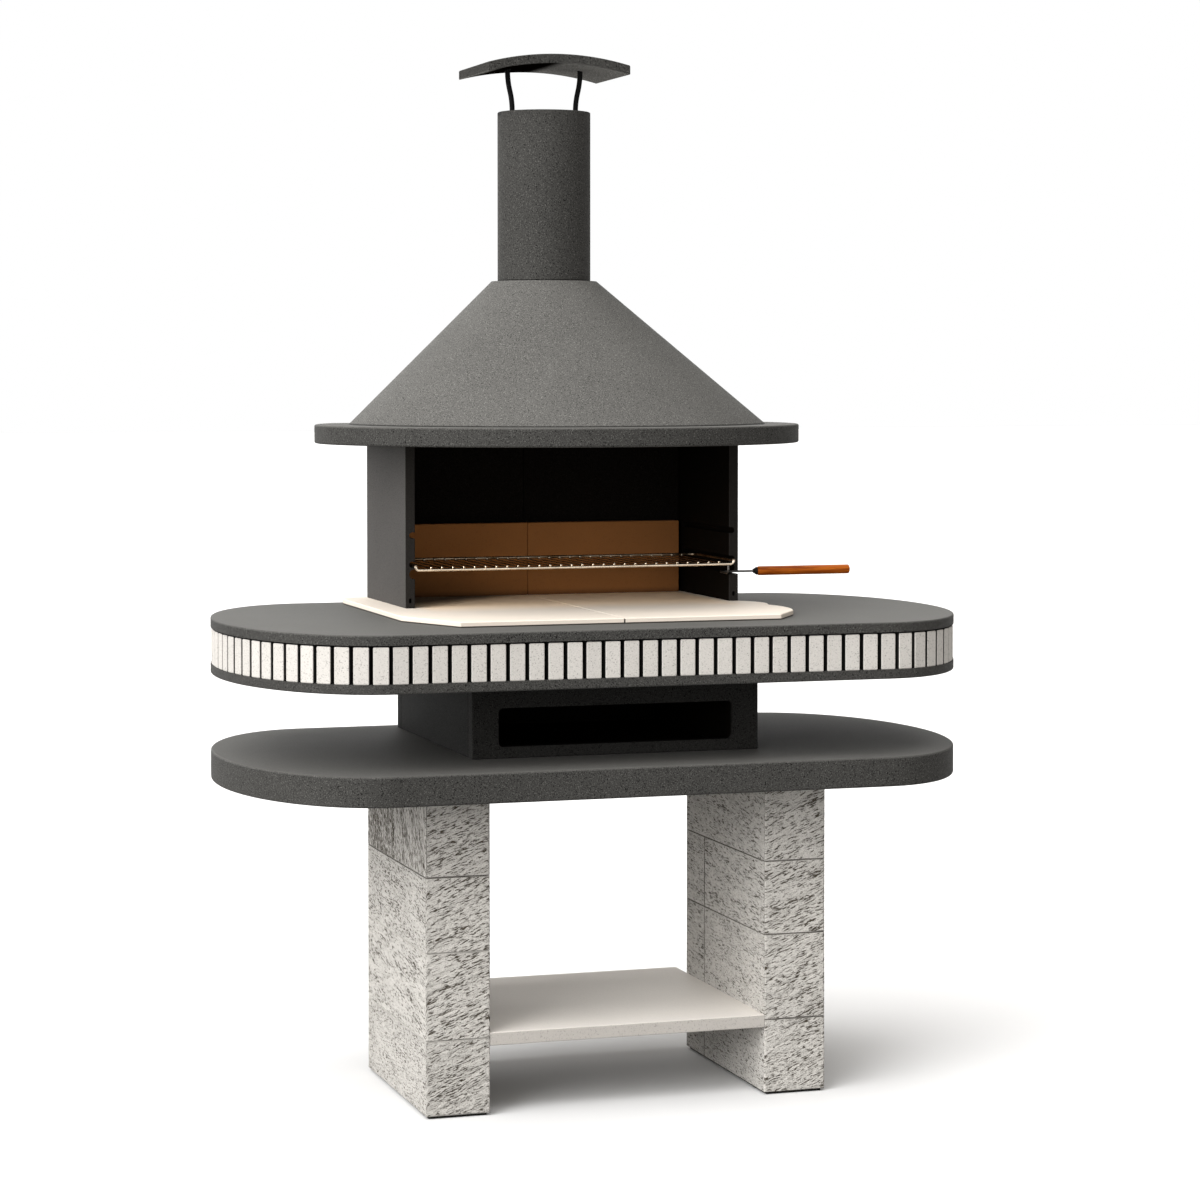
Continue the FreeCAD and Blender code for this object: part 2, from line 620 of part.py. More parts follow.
def worktop():
    """Bottom plate, core and top plate."""
    low, high = "places.worktop_bottom", "places.slat_bottom"
    oval_plate("worktop_bottom_plate", low, high, "0", "sizes.plate_edge_round", (low,))
    inset = "(sizes.slat_recess + sizes.slat_thickness + sizes.slat_bed)"
    oval_plate("worktop_core", high, "places.top_plate_bottom", inset, "0", ())
    low, high = "places.top_plate_bottom", "places.worktop_top"
    oval_plate("worktop_top_plate", low, high, "0", "sizes.plate_edge_round", (high,))


def oval_edges(inset):
    """The oval set in from the edge, as edges that run round it from the middle of the front."""
    straight = sizes.slab_length / 2 - sizes.slab_end_length
    half_depth = sizes.slab_depth / 2 - inset
    reach = sizes.slab_end_length - inset
    middle_front = Vector(0, -half_depth, 0)
    edges = []
    for side in (1, -1):
        middle = Vector(side * straight, 0, 0)
        down = Vector(0, -side * half_depth, 0)
        ellipse = Part.Ellipse(middle + down, middle + Vector(side * reach, 0, 0), middle)
        edges.append(Part.LineSegment(middle_front if side > 0 else -middle_front, middle + down).toShape())
        edges.append(Part.ArcOfEllipse(ellipse, 0, math.pi).toShape())
        edges.append(Part.LineSegment(middle - down, -middle_front if side > 0 else middle_front).toShape())
    return edges


def worktop_slats():
    """Upright slats at even steps round the worktop, one of them in the middle of the front."""
    edges = oval_edges(sizes.slat_recess)
    around = sum(edge.Length for edge in edges)
    count = round(around / (sizes.slat_width + sizes.slat_gap))
    slats = []
    for slat in range(count):
        travel = slat * around / count
        for edge in edges:
            if travel <= edge.Length:
                break
            travel -= edge.Length
        place = edge.getParameterByLength(travel)
        point = edge.valueAt(place)
        along = edge.tangentAt(place)
        shape = Part.makeBox(sizes.slat_width, sizes.slat_thickness, sizes.slat_height)
        shape.translate(Vector(-sizes.slat_width / 2, 0, 0))
        shape.rotate(Vector(), Vector(0, 0, 1), math.degrees(math.atan2(along.y, along.x)))
        shape.translate(point)
        slats.append(shape)
    item = doc.addObject("Part::Feature", "worktop_slats")
    item.Shape = Part.makeCompound(slats)
    item.Placement.Base = Vector(0, 0, places.slat_bottom)
    keep(item, "worktop_slats")


def hearth():
    """Two tiles that meet beside the middle, one with cut and round corners, one scalloped."""
    front, back = "places.hearth_front", "places.hearth_back"
    outer = "places.wall_outer"
    left_side = f"-({outer} + sizes.left_tile_reach)"
    left = [
        ("places.left_joint", back),
        (f"{left_side} + sizes.left_rear_round", back),
        (left_side, f"{back} - sizes.left_rear_round"),
        (left_side, f"{front} + sizes.left_corner_depth"),
        (f"{left_side} + sizes.left_corner_width", front),
        ("places.left_joint", front),
    ]
    right = [
        ("places.right_joint", front),
        (f"{outer} - sizes.right_corner_width", front),
        (f"{outer} + sizes.right_corner_reach", f"{front} + sizes.right_corner_depth"),
        (f"{outer} + sizes.scallop_reach", "places.wall_front - sizes.rear_scallop_length"),
        (outer, "places.wall_front"),
        (outer, back),
        ("places.right_joint", back),
    ]
    corner = {1: (1, "sizes.left_rear_round")}
    scallops = {2: (1, "sizes.front_scallop_radius"), 3: (1, "sizes.rear_scallop_radius")}
    for name, outline, arcs in (("left", left, corner), ("right", right, scallops)):
        body = new_body(f"hearth_{name}_tile")
        sketch = new_sketch(body, "XY_Plane", "places.worktop_top")
        draw(sketch, outline, arcs)
        tile = pad(body, sketch, "sizes.hearth_thickness")
        dress(body, "Chamfer", tile, "sizes.panel_edge")


# Firebox

def groove(body, sign, floor, height):
    """A groove with a half-round bottom along the inner face of a wall."""
    inner = f"{sign}places.wall_inner"
    round_start = f"{sign}(places.wall_inner + sizes.groove_depth - {height} / 2)"
    top = f"{floor} + {height}"
    sketch = new_sketch(body, "XZ_Plane", "-(places.wall_front)")
    turn = -1 if sign else 1
    draw(sketch, [(inner, floor), (round_start, floor), (round_start, top), (inner, top)], {1: (turn, None)})
    pocket(body, sketch, "sizes.groove_length")


def anchor_hole(body, sign):
    """A small upright oblong hole in the front of a wall."""
    middle = f"{sign}(places.wall_inner + sizes.wall_thickness / 2)"
    half = "sizes.anchor_hole_width / 2"
    low = f"places.hearth_top + sizes.anchor_hole_level + {half}"
    high = f"places.hearth_top + sizes.anchor_hole_level + sizes.anchor_hole_height - {half}"
    corners = [
        (f"{middle} + {half}", low),
        (f"{middle} + {half}", high),
        (f"{middle} - {half}", high),
        (f"{middle} - {half}", low),
    ]
    sketch = new_sketch(body, "XZ_Plane", "-(places.wall_front)")
    draw(sketch, corners, {1: (1, None), 3: (1, None)})
    pocket(body, sketch, "sizes.anchor_hole_depth")


def stem_slot(body):
    """The slot in the right wall that lets the handle's stem out to the front."""
    low = "places.stem_level - places.slot_half"
    high = "places.stem_level + places.slot_half"
    front, end = "places.wall_front", "places.slot_end"
    sketch = new_sketch(body, "YZ_Plane", "places.wall_outer")
    draw(sketch, [(front, low), (end, low), (end, high), (front, high)], {1: (1, None)})
    pocket(body, sketch)


def firebox_walls():
    """Side walls with three pairs of grate grooves and back panels behind them."""
    levels = (
        ("sizes.upper_groove_level", "sizes.groove_height"),
        ("sizes.middle_groove_level", "sizes.groove_height"),
        ("sizes.lower_groove_level", "sizes.lower_groove_height"),
    )
    front, back = "places.wall_front", "places.wall_back"
    floor, top = "places.hearth_top", "places.rim_bottom"
    for name, sign in (("left", "-"), ("right", "")):
        inner, outer = f"{sign}places.wall_inner", f"{sign}places.wall_outer"
        wall = block(f"firebox_{name}_wall", (inner, front, floor), (outer, back, top), "sizes.wall_edge")
        for level, height in levels:
            groove(wall, sign, f"places.hearth_top + {level}", height)
        anchor_hole(wall, sign)
        if name == "right":
            stem_slot(wall)
    behind = f"{back} + sizes.back_panel_thickness"
    for name, sign in (("left", "-"), ("right", "")):
        joint = f"places.{name}_joint"
        outer = f"{sign}(places.wall_outer - sizes.back_panel_inset)"
        block(f"firebox_back_{name}_panel", (joint, back, floor), (outer, behind, top), "sizes.wall_edge")


def fireback():
    """Two firebrick panels on the hearth in front of the back panels."""
    front = "places.wall_back - sizes.fireback_thickness"
    top = "places.hearth_top + sizes.fireback_height"
    for name, sign in (("left", "-"), ("right", "")):
        joint = f"places.{name}_joint"
        outer = f"{sign}(places.wall_inner - sizes.fireback_gap)"
        low, high = (joint, front, "places.hearth_top"), (outer, "places.wall_back", top)
        block(f"fireback_{name}_brick", low, high, "sizes.wall_edge")


# Hood, flue and rain cap

def hood_rim():
    """The plate under the cone: an ellipse with a flat back and an opening for the smoke."""
    body = new_body("hood_rim")
    middle = "places.rim_middle"
    back = f"({middle} + sizes.rim_back)"
    length, depth = sizes.rim_half_length, sizes.rim_half_depth
    lift = Vector(0, places.rim_middle, 0)
    share = sizes.rim_back / depth
    half_back = length * math.sqrt(1 - share ** 2)
    opening = math.asin(share)
    sketch = new_sketch(body, "XY_Plane", "places.rim_bottom")
    ellipse = Part.Ellipse(lift + Vector(length, 0, 0), lift + Vector(0, depth, 0), lift)
    arc = sketch.addGeometry(Part.ArcOfEllipse(ellipse, math.pi - opening, 2 * math.pi + opening))
    sketch.exposeInternalGeometry(arc)
    long_axis, short_axis = arc + 1, arc + 2
    right, left = lift + Vector(half_back, sizes.rim_back, 0), lift + Vector(-half_back, sizes.rim_back, 0)
    flat = sketch.addGeometry(Part.LineSegment(right, left))
    join(sketch, (arc, 2), (flat, 1))
    join(sketch, (arc, 1), (flat, 2))
    sketch.addConstraint(Sketcher.Constraint("Horizontal", flat))
    sketch.addConstraint(Sketcher.Constraint("Horizontal", long_axis))
    sketch.addConstraint(Sketcher.Constraint("PointOnObject", arc, 3, -2))
    pin(sketch, (arc, 3), y=middle)
    pin(sketch, (flat, 1), y=back)
    end = 1 if sketch.Geometry[long_axis].StartPoint.x > 0 else 2
    pin(sketch, (long_axis, end), x="sizes.rim_half_length")
    end = 1 if sketch.Geometry[short_axis].StartPoint.y > lift.y else 2
    pin(sketch, (short_axis, end), y=f"{middle} + sizes.rim_half_depth")
    plate = pad(body, sketch, "sizes.rim_thickness")
    dress(body, "Fillet", plate, "sizes.rim_edge_round")
    sketch = new_sketch(body, "XY_Plane", "places.cone_bottom")
    mouth = rounded_rectangle(
        "-sizes.smoke_opening_width / 2", f"({middle} - sizes.smoke_opening_front)",
        "sizes.smoke_opening_width / 2", f"({middle} + sizes.smoke_opening_back)",
        "sizes.smoke_opening_corner")
    draw(sketch, *mouth)
    pocket(body, sketch)


def cone_solid(name, shrink, top_radius, back):
    """A cone from an ellipse up to a circle, with its back cut off flat."""
    foot = doc.addObject("Part::Ellipse", f"{name}_foot")
    foot.setExpression("MajorRadius", f"sizes.cone_half_length - {shrink}")
    foot.setExpression("MinorRadius", f"sizes.cone_half_depth - {shrink}")
    foot.setExpression("Placement.Base.y", "places.rim_middle")
    foot.setExpression("Placement.Base.z", "places.cone_bottom")
    head = doc.addObject("Part::Circle", f"{name}_head")
    head.setExpression("Radius", top_radius)
    head.setExpression("Placement.Base.y", "places.flue_axis")
    head.setExpression("Placement.Base.z", "places.flue_bottom")
    loft = doc.addObject("Part::Loft", f"{name}_loft")
    loft.Sections = [foot, head]
    loft.Solid = True
    loft.Ruled = True
    room = doc.addObject("Part::Box", f"{name}_room")
    room.setExpression("Length", "2 * sizes.cone_half_length")
    room.setExpression("Width", f"sizes.cone_half_depth + {back}")
    room.setExpression("Height", "sizes.cone_height")
    room.setExpression("Placement.Base.x", "-sizes.cone_half_length")
    room.setExpression("Placement.Base.y", "places.rim_middle - sizes.cone_half_depth")
    room.setExpression("Placement.Base.z", "places.cone_bottom")
    solid = doc.addObject("Part::Common", name)
    solid.Base = loft
    solid.Tool = room
    return solid


def hood_cone():
    """The hollow cone, open below and at the throat."""
    outside = cone_solid("cone_outside", "0", "sizes.cone_top_radius", "sizes.cone_back")
    inside = cone_solid("cone_inside", "sizes.cone_wall", "sizes.throat_radius",
                        "sizes.cone_back - sizes.cone_wall")
    shell = doc.addObject("Part::Cut", "hood_cone")
    shell.Base = outside
    shell.Tool = inside
    keep(shell, "hood_cone")


def flue_pipe():
    """The flue with a spigot in the cone's throat and two notches for the strap."""
    body = new_body("flue_pipe")
    body.setExpression("Placement.Base.y", "places.flue_axis")
    spigot = "(sizes.throat_radius - sizes.spigot_fit)"
    bore = "(sizes.flue_radius - sizes.flue_wall)"
    spigot_bore = f"({spigot} - sizes.spigot_wall)"
    low, top = "places.flue_bottom", "places.flue_top"
    corners = [
        (spigot_bore, f"{low} - sizes.spigot_depth"),
        (spigot, f"{low} - sizes.spigot_depth"),
        (spigot, low),
        ("sizes.flue_radius", low),
        ("sizes.flue_radius", f"{top} - sizes.flue_edge"),
        ("sizes.flue_radius - sizes.flue_edge", top),
        (bore, top),
        (bore, f"{low} + {bore} - {spigot_bore}"),
        (spigot_bore, low),
    ]
    sketch = new_sketch(body, "XZ_Plane")
    draw(sketch, corners)
    revolve(body, sketch, "V_Axis")
    sketch = new_sketch(body, "YZ_Plane", "sizes.flue_radius")
    half = "sizes.strap_width / 2"
    draw(sketch, rectangle(f"-{half}", "places.strap_bottom", half, top))
    pocket(body, sketch)


def flue_strap():
    """The strap that lies in the notches and holds the posts."""
    half = "(sizes.flue_radius - sizes.strap_inset)"
    front, back = "places.flue_axis - sizes.strap_width / 2", "places.flue_axis + sizes.strap_width / 2"
    low, high = (f"-{half}", front, "places.strap_bottom"), (half, back, "places.flue_top")
    body = block("flue_strap", low, high, "sizes.flue_edge / 3")
    sketch = new_sketch(body, "XY_Plane", "places.flue_top")
    for sign in ("-", ""):
        radius = "sizes.post_radius + sizes.post_fit"
        draw_circle(sketch, f"{sign}sizes.post_low_offset", "places.flue_axis", radius)
    pocket(body, sketch)


def cap_posts():
    """Two rods that sway outwards from the strap up to the cap."""
    for name, sign in (("left", "-"), ("right", "")):
        body = new_body(f"cap_{name}_post")
        body.setExpression("Placement.Base.y", "places.flue_axis")
        low, high = f"{sign}sizes.post_low_offset", f"{sign}sizes.post_high_offset"
        half_way = f"{sign}(sizes.post_low_offset + places.post_sway / 2)"
        corners = [
            (low, "places.strap_bottom"),
            (low, "places.post_sway_bottom"),
            (half_way, "places.post_sway_bottom + places.post_sway_height / 2"),
            (high, "places.post_sway_top"),
            (high, "places.post_top"),
        ]
        turn = 1 if sign else -1
        path = new_sketch(body, "XZ_Plane")
        draw(path, corners, {1: (turn, "places.post_bend"), 2: (-turn, "places.post_bend")}, closed=False)
        profile = new_sketch(body, "XY_Plane", "places.strap_bottom")
        draw_circle(profile, low, "0", "sizes.post_radius")
        doc.recompute()
        pipe(body, profile, path)


def cap_plate():
    """The arched rain cap with two sockets for the posts."""
    body = new_body("cap_plate")
    body.setExpression("Placement.Base.y", "places.flue_axis + sizes.cap_depth / 2")
    half = "sizes.cap_length / 2"
    end = "places.cap_crown - sizes.cap_rise"
    under = f"{end} - sizes.cap_thickness"
    sketch = new_sketch(body, "XZ_Plane")
    corners = [(f"-{half}", under), (half, under), (half, end), (f"-{half}", end)]
    draw(sketch, corners, {0: (-1, "places.cap_radius"), 2: (1, "places.cap_radius")})
    plate = pad(body, sketch, "sizes.cap_depth")
    dress(body, "Chamfer", plate, "sizes.cap_edge")
    sketch = new_sketch(body, "XY_Plane", "places.post_top")
    for sign in ("-", ""):
        radius = "sizes.post_radius + sizes.post_fit"
        draw_circle(sketch, f"{sign}sizes.post_high_offset", "-sizes.cap_depth / 2", radius)
    pocket(body, sketch)


# Grate and handle

def grate_front_rail():
    """The rail across the front, with its ends turned up to the runners."""
    body = new_body("grate_front_rail")
    body.setExpression("Placement.Base.y", "places.rail_front")
    side, level = "places.runner_side", "places.rail_level"
    corners = [
        (f"-{side}", "places.runner_level"),
        (f"-{side}", f"{level} + sizes.rail_bend"),
        (f"-({side} - sizes.rail_bend)", level),
        (f"{side} - sizes.rail_bend", level),
        (side, f"{level} + sizes.rail_bend"),
        (side, "places.runner_level"),
    ]
    path = new_sketch(body, "XZ_Plane")
    draw(path, corners, {1: (1, "sizes.rail_bend"), 3: (1, "sizes.rail_bend")}, closed=False)
    profile = new_sketch(body, "XY_Plane", "places.runner_level")
    draw_circle(profile, f"-{side}", "0", "sizes.rail_radius")
    doc.recompute()
    pipe(body, profile, path)


def grate_frame_rod():
    """One rod bent to a U: left runner, back rod and right runner."""
    body = new_body("grate_frame_rod")
    body.setExpression("Placement.Base.z", "places.runner_level")
    side, back = "places.runner_side", "places.grate_back"
    corners = [
        (f"-{side}", "places.rail_front"),
        (f"-{side}", f"{back} - sizes.runner_bend"),
        (f"-({side} - sizes.runner_bend)", back),
        (f"{side} - sizes.runner_bend", back),
        (side, f"{back} - sizes.runner_bend"),
        (side, "places.rail_front"),
    ]
    path = new_sketch(body, "XY_Plane")
    draw(path, corners, {1: (-1, "sizes.runner_bend"), 3: (-1, "sizes.runner_bend")}, closed=False)
    profile = new_sketch(body, "XZ_Plane", "-places.rail_front")
    draw_circle(profile, f"-{side}", "0", "sizes.runner_radius")
    doc.recompute()
    pipe(body, profile, path)


def grate_wires():
    """Wires from front to back, over the rail and under the back rod."""
    body = new_body("grate_wires")
    sketch = new_sketch(body, "XZ_Plane", "-(places.grate_back + sizes.wire_overhang)")
    draw_circle(sketch, "-places.wire_span / 2", "places.wire_level", "sizes.wire_radius")
    wire = pad(body, sketch, "sizes.grate_depth + 2 * sizes.wire_overhang")
    row = body.newObject("PartDesign::LinearPattern", "grate_wires_row")
    row.Originals = [wire]
    row.Direction = (sketch, ["H_Axis"])
    row.setExpression("Length", "places.wire_span")
    row.setExpression("Occurrences", "sizes.wire_count")
    body.Tip = row
    doc.recompute()


def bent_rod(points, bend, radius):
    """A round rod along straight runs joined by tangent arcs."""
    edges = []
    start = points[0]
    for before, corner, after in zip(points, points[1:], points[2:]):
        back_way = (before - corner).normalize()
        onward = (after - corner).normalize()
        half_angle = back_way.getAngle(onward) / 2
        trim = bend / math.tan(half_angle)
        inside = (back_way + onward).normalize()
        first, last = corner + back_way * trim, corner + onward * trim
        middle = corner + inside * (bend / math.sin(half_angle) - bend)
        edges.append(Part.LineSegment(start, first).toShape())
        edges.append(Part.Arc(first, middle, last).toShape())
        start = last
    edges.append(Part.LineSegment(start, points[-1]).toShape())
    profile = Part.Wire(Part.makeCircle(radius, points[0], points[1] - points[0]))
    return Part.Wire(edges).makePipeShell([profile], True, False)


def grate_handle_stem():
    """The rod from the front rail down, back and out through the right wall into the grip."""
    inner = places.wall_inner - sizes.stem_inset
    weld = places.rail_level - sizes.rail_radius + sizes.weld_depth
    points = [
        Vector(inner, places.rail_front, weld),
        Vector(inner, places.rail_front, places.stem_level),
        Vector(inner, places.stem_line, places.stem_level),
        Vector(places.grip_start + sizes.stem_seat, places.stem_line, places.stem_level),
    ]
    item = doc.addObject("Part::Feature", "grate_handle_stem")
    item.Shape = bent_rod(points, sizes.stem_bend, sizes.stem_radius)
    keep(item, "grate_handle_stem")


def turned_on_stem(label, corners, arcs=None):
    """A piece turned about the stem's axis."""
    body = new_body(label)
    body.setExpression("Placement.Base.y", "places.stem_line")
    body.setExpression("Placement.Base.z", "places.stem_level")
    sketch = new_sketch(body, "XZ_Plane")
    draw(sketch, corners, arcs)
    revolve(body, sketch, "H_Axis")


def grate_handle():
    """Conical ferrule and wooden grip on the stem."""
    bore = "(sizes.stem_radius + sizes.stem_fit)"
    start, end = "places.grip_start", "places.grip_end"
    flange = f"{start} - sizes.ferrule_flange"
    turned_on_stem("grate_handle_ferrule", [
        (f"{start} - sizes.ferrule_length", bore),
        (start, bore),
        (start, "sizes.ferrule_radius"),
        (flange, "sizes.ferrule_radius"),
        (f"{start} - sizes.ferrule_length", f"({bore} + sizes.ferrule_tip)"),
    ])
    seat = f"{start} + sizes.stem_seat"
    turned_on_stem("grate_handle_grip", [
        (start, bore),
        (seat, bore),
        (seat, "0"),
        (end, "0"),
        (end, "sizes.grip_radius - sizes.grip_end_round"),
        (f"{end} - sizes.grip_end_round", "sizes.grip_radius"),
        (f"{start} + sizes.grip_bevel", "sizes.grip_radius"),
        (start, "sizes.grip_radius - sizes.grip_bevel / 2"),
    ], {4: (1, "sizes.grip_end_round")})


def write_parts():
    """Check every object and write each sub-part to its own file."""
    doc.recompute()
    failed = [item.Label for item in doc.Objects if {"Invalid", "Error"} & set(item.State)]
    failed += [item.Label for item in nodes if item.Shape.isNull() or not item.Shape.isValid()]
    if failed:
        raise RuntimeError(f"failed: {failed}")
    os.makedirs("parts", exist_ok=True)
    for item in nodes:
        item.Shape.exportStep(os.path.join("parts", f"{item.Label}.step"))
    print(len(nodes), "sub-parts written")


pillars()
lower_shelf()
base_slab()
pedestal()
worktop()
worktop_slats()
hearth()
firebox_walls()
fireback()
hood_rim()
hood_cone()
flue_pipe()
flue_strap()
cap_posts()
cap_plate()
grate_front_rail()
grate_frame_rod()
grate_wires()
grate_handle_stem()
grate_handle()
write_parts()
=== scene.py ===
import math

import bpy
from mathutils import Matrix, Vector


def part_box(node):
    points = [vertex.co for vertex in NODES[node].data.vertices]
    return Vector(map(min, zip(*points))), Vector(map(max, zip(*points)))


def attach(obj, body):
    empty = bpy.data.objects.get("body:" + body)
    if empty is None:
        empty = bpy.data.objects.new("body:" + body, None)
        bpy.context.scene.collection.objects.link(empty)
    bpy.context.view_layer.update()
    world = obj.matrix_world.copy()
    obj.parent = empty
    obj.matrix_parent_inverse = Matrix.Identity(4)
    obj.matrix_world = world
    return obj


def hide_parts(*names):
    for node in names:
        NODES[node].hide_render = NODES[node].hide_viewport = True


bl_info = {
    "name": "Outdoor Fireplace Grill",
    "version": (1, 0, 0),
    "blender": (4, 5, 0),
    "location": "View3D > Sidebar > Fireplace",
    "description": "Dresses an outdoor fireplace grill in stone, concrete, steel and wood",
    "category": "Object",
}

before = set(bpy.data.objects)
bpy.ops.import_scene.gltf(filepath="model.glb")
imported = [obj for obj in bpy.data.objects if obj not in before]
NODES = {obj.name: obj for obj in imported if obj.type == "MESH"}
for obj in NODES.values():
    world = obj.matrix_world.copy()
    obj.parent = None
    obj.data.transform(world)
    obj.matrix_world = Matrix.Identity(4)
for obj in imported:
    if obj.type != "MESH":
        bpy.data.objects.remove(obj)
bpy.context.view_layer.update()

FRAME_BODY = "frame"
GRATE_BODY = "grate"
MM = 0.001
# Half the width of the soft edge round a box of soot and painted shade
BOX_EDGE = 0.5 * MM


# Node graphs

class Signal:
    """One output of a node graph that takes part in Python arithmetic."""

    def __init__(self, graph, socket):
        self.graph = graph
        self.socket = socket

    def other(self, name):
        """Another output of the same node."""
        return Signal(self.graph, self.socket.node.outputs[name])

    def math(self, operation, *values):
        """A Math node with this value first."""
        return self.graph.math(operation, self, *values)

    def __add__(self, value):
        return self.math("ADD", value)

    def __radd__(self, value):
        return self.math("ADD", value)

    def __sub__(self, value):
        return self.math("SUBTRACT", value)

    def __rsub__(self, value):
        return self.graph.math("SUBTRACT", value, self)

    def __mul__(self, value):
        return self.math("MULTIPLY", value)

    def __rmul__(self, value):
        return self.math("MULTIPLY", value)

    def __truediv__(self, value):
        return self.math("DIVIDE", value)

    def __rtruediv__(self, value):
        return self.graph.math("DIVIDE", value, self)

    def __neg__(self):
        return self.math("MULTIPLY", -1.0)

    def __abs__(self):
        return self.math("ABSOLUTE")


class Graph:
    """A node tree that is filled from Python."""

    def __init__(self, tree):
        self.tree = tree

    def add(self, kind, settings=None, sockets=None, out=0):
        """Add a node: its settings first, then a value, a link or a list of links for each socket."""
        node = self.tree.nodes.new(kind)
        for name, value in (settings or {}).items():
            setattr(node, name, value)
        for name, value in (sockets or {}).items():
            for item in value if isinstance(value, list) else [value]:
                if isinstance(item, Signal):
                    self.tree.links.new(item.socket, node.inputs[name])
                else:
                    node.inputs[name].default_value = item
        return Signal(self, node.outputs[out]) if node.outputs else None

    def math(self, operation, *values):
        """A Math node."""
        return self.add("ShaderNodeMath", {"operation": operation}, dict(enumerate(values)))

    def vector(self, operation, *values):
        """A Vector Math node."""
        return self.add("ShaderNodeVectorMath", {"operation": operation}, dict(enumerate(values)))

    def scale(self, vector, amount):
        """A vector times a number."""
        sockets = {"Vector": vector, "Scale": amount}
        return self.add("ShaderNodeVectorMath", {"operation": "SCALE"}, sockets)

    def parts(self, vector):
        """The three coordinates of a vector."""
        x = self.add("ShaderNodeSeparateXYZ", None, {0: vector})
        return x, x.other("Y"), x.other("Z")

    def point(self, x, y, z):
        """A vector from three coordinates."""
        return self.add("ShaderNodeCombineXYZ", None, {0: x, 1: y, 2: z})

    def mix(self, amount, first, second):
        """A colour between two colours."""
        sockets = {0: amount, 6: (*first, 1.0), 7: (*second, 1.0)}
        return self.add("ShaderNodeMix", {"data_type": "RGBA"}, sockets, 2)

    def step(self, value, low, high):
        """A smooth step from 0 at low to 1 at high."""
        sockets = {0: value, 1: low, 2: high, 3: 0.0, 4: 1.0}
        return self.add("ShaderNodeMapRange", {"interpolation_type": "SMOOTHSTEP"}, sockets)

    def noise(self, place, scale=1.0, detail=2.0, roughness=0.5, distortion=0.0):
        """Fractal noise around one half."""
        sockets = {"Vector": place, "Scale": scale, "Detail": detail, "Roughness": roughness}
        return self.add("ShaderNodeTexNoise", None, sockets | {"Distortion": distortion})


def turned(level, upright, angle):
    """Coordinates along and across strokes that rise by an angle."""
    cosine, sine = angle.math("COSINE"), angle.math("SINE")
    return level * cosine + upright * sine, upright * cosine - level * sine


class Finish(Graph):
    """A material with one principled surface."""

    def __init__(self, name):
        self.material = bpy.data.materials.new(name)
        self.material.use_nodes = True
        super().__init__(self.material.node_tree)
        self.tree.nodes.clear()
        self.place = self.add("ShaderNodeTexCoord", out="Object")

    def mapped(self, scale=(1, 1, 1), shift=(0, 0, 0)):
        """The place on the object, stretched and shifted."""
        sockets = {"Vector": self.place, "Scale": scale, "Location": shift}
        return self.add("ShaderNodeMapping", None, sockets)

    def grains(self, scale, low, high, shift=(0, 0, 0)):
        """Spots where a fine noise is high."""
        return self.step(self.noise(self.mapped(shift=shift), scale, detail=1.0), low, high)

    def attribute(self, name):
        """A number stored on the mesh."""
        return self.add("ShaderNodeAttribute", {"attribute_name": name}, out="Fac")

    def bump(self, height, strength, distance):
        """A relief for the surface's normal."""
        sockets = {"Height": height, "Strength": strength, "Distance": distance}
        return self.add("ShaderNodeBump", None, sockets)

    def inside(self, low, high):
        """1 inside a box of the object's space and 0 outside it."""
        mask = 1.0
        for value, first, last in zip(self.parts(self.place), low, high):
            past_first = self.step(value, first - BOX_EDGE, first + BOX_EDGE)
            past_last = self.step(value, last - BOX_EDGE, last + BOX_EDGE)
            mask = mask * (past_first * (1.0 - past_last))
        return mask

    def shade(self, **sockets):
        """End in a principled surface; its sockets are named with underscores for spaces."""
        named = {name.replace("_", " "): value for name, value in sockets.items()}
        surface = self.add("ShaderNodeBsdfPrincipled", None, named)
        self.add("ShaderNodeOutputMaterial", None, {"Surface": surface})
        return self.material


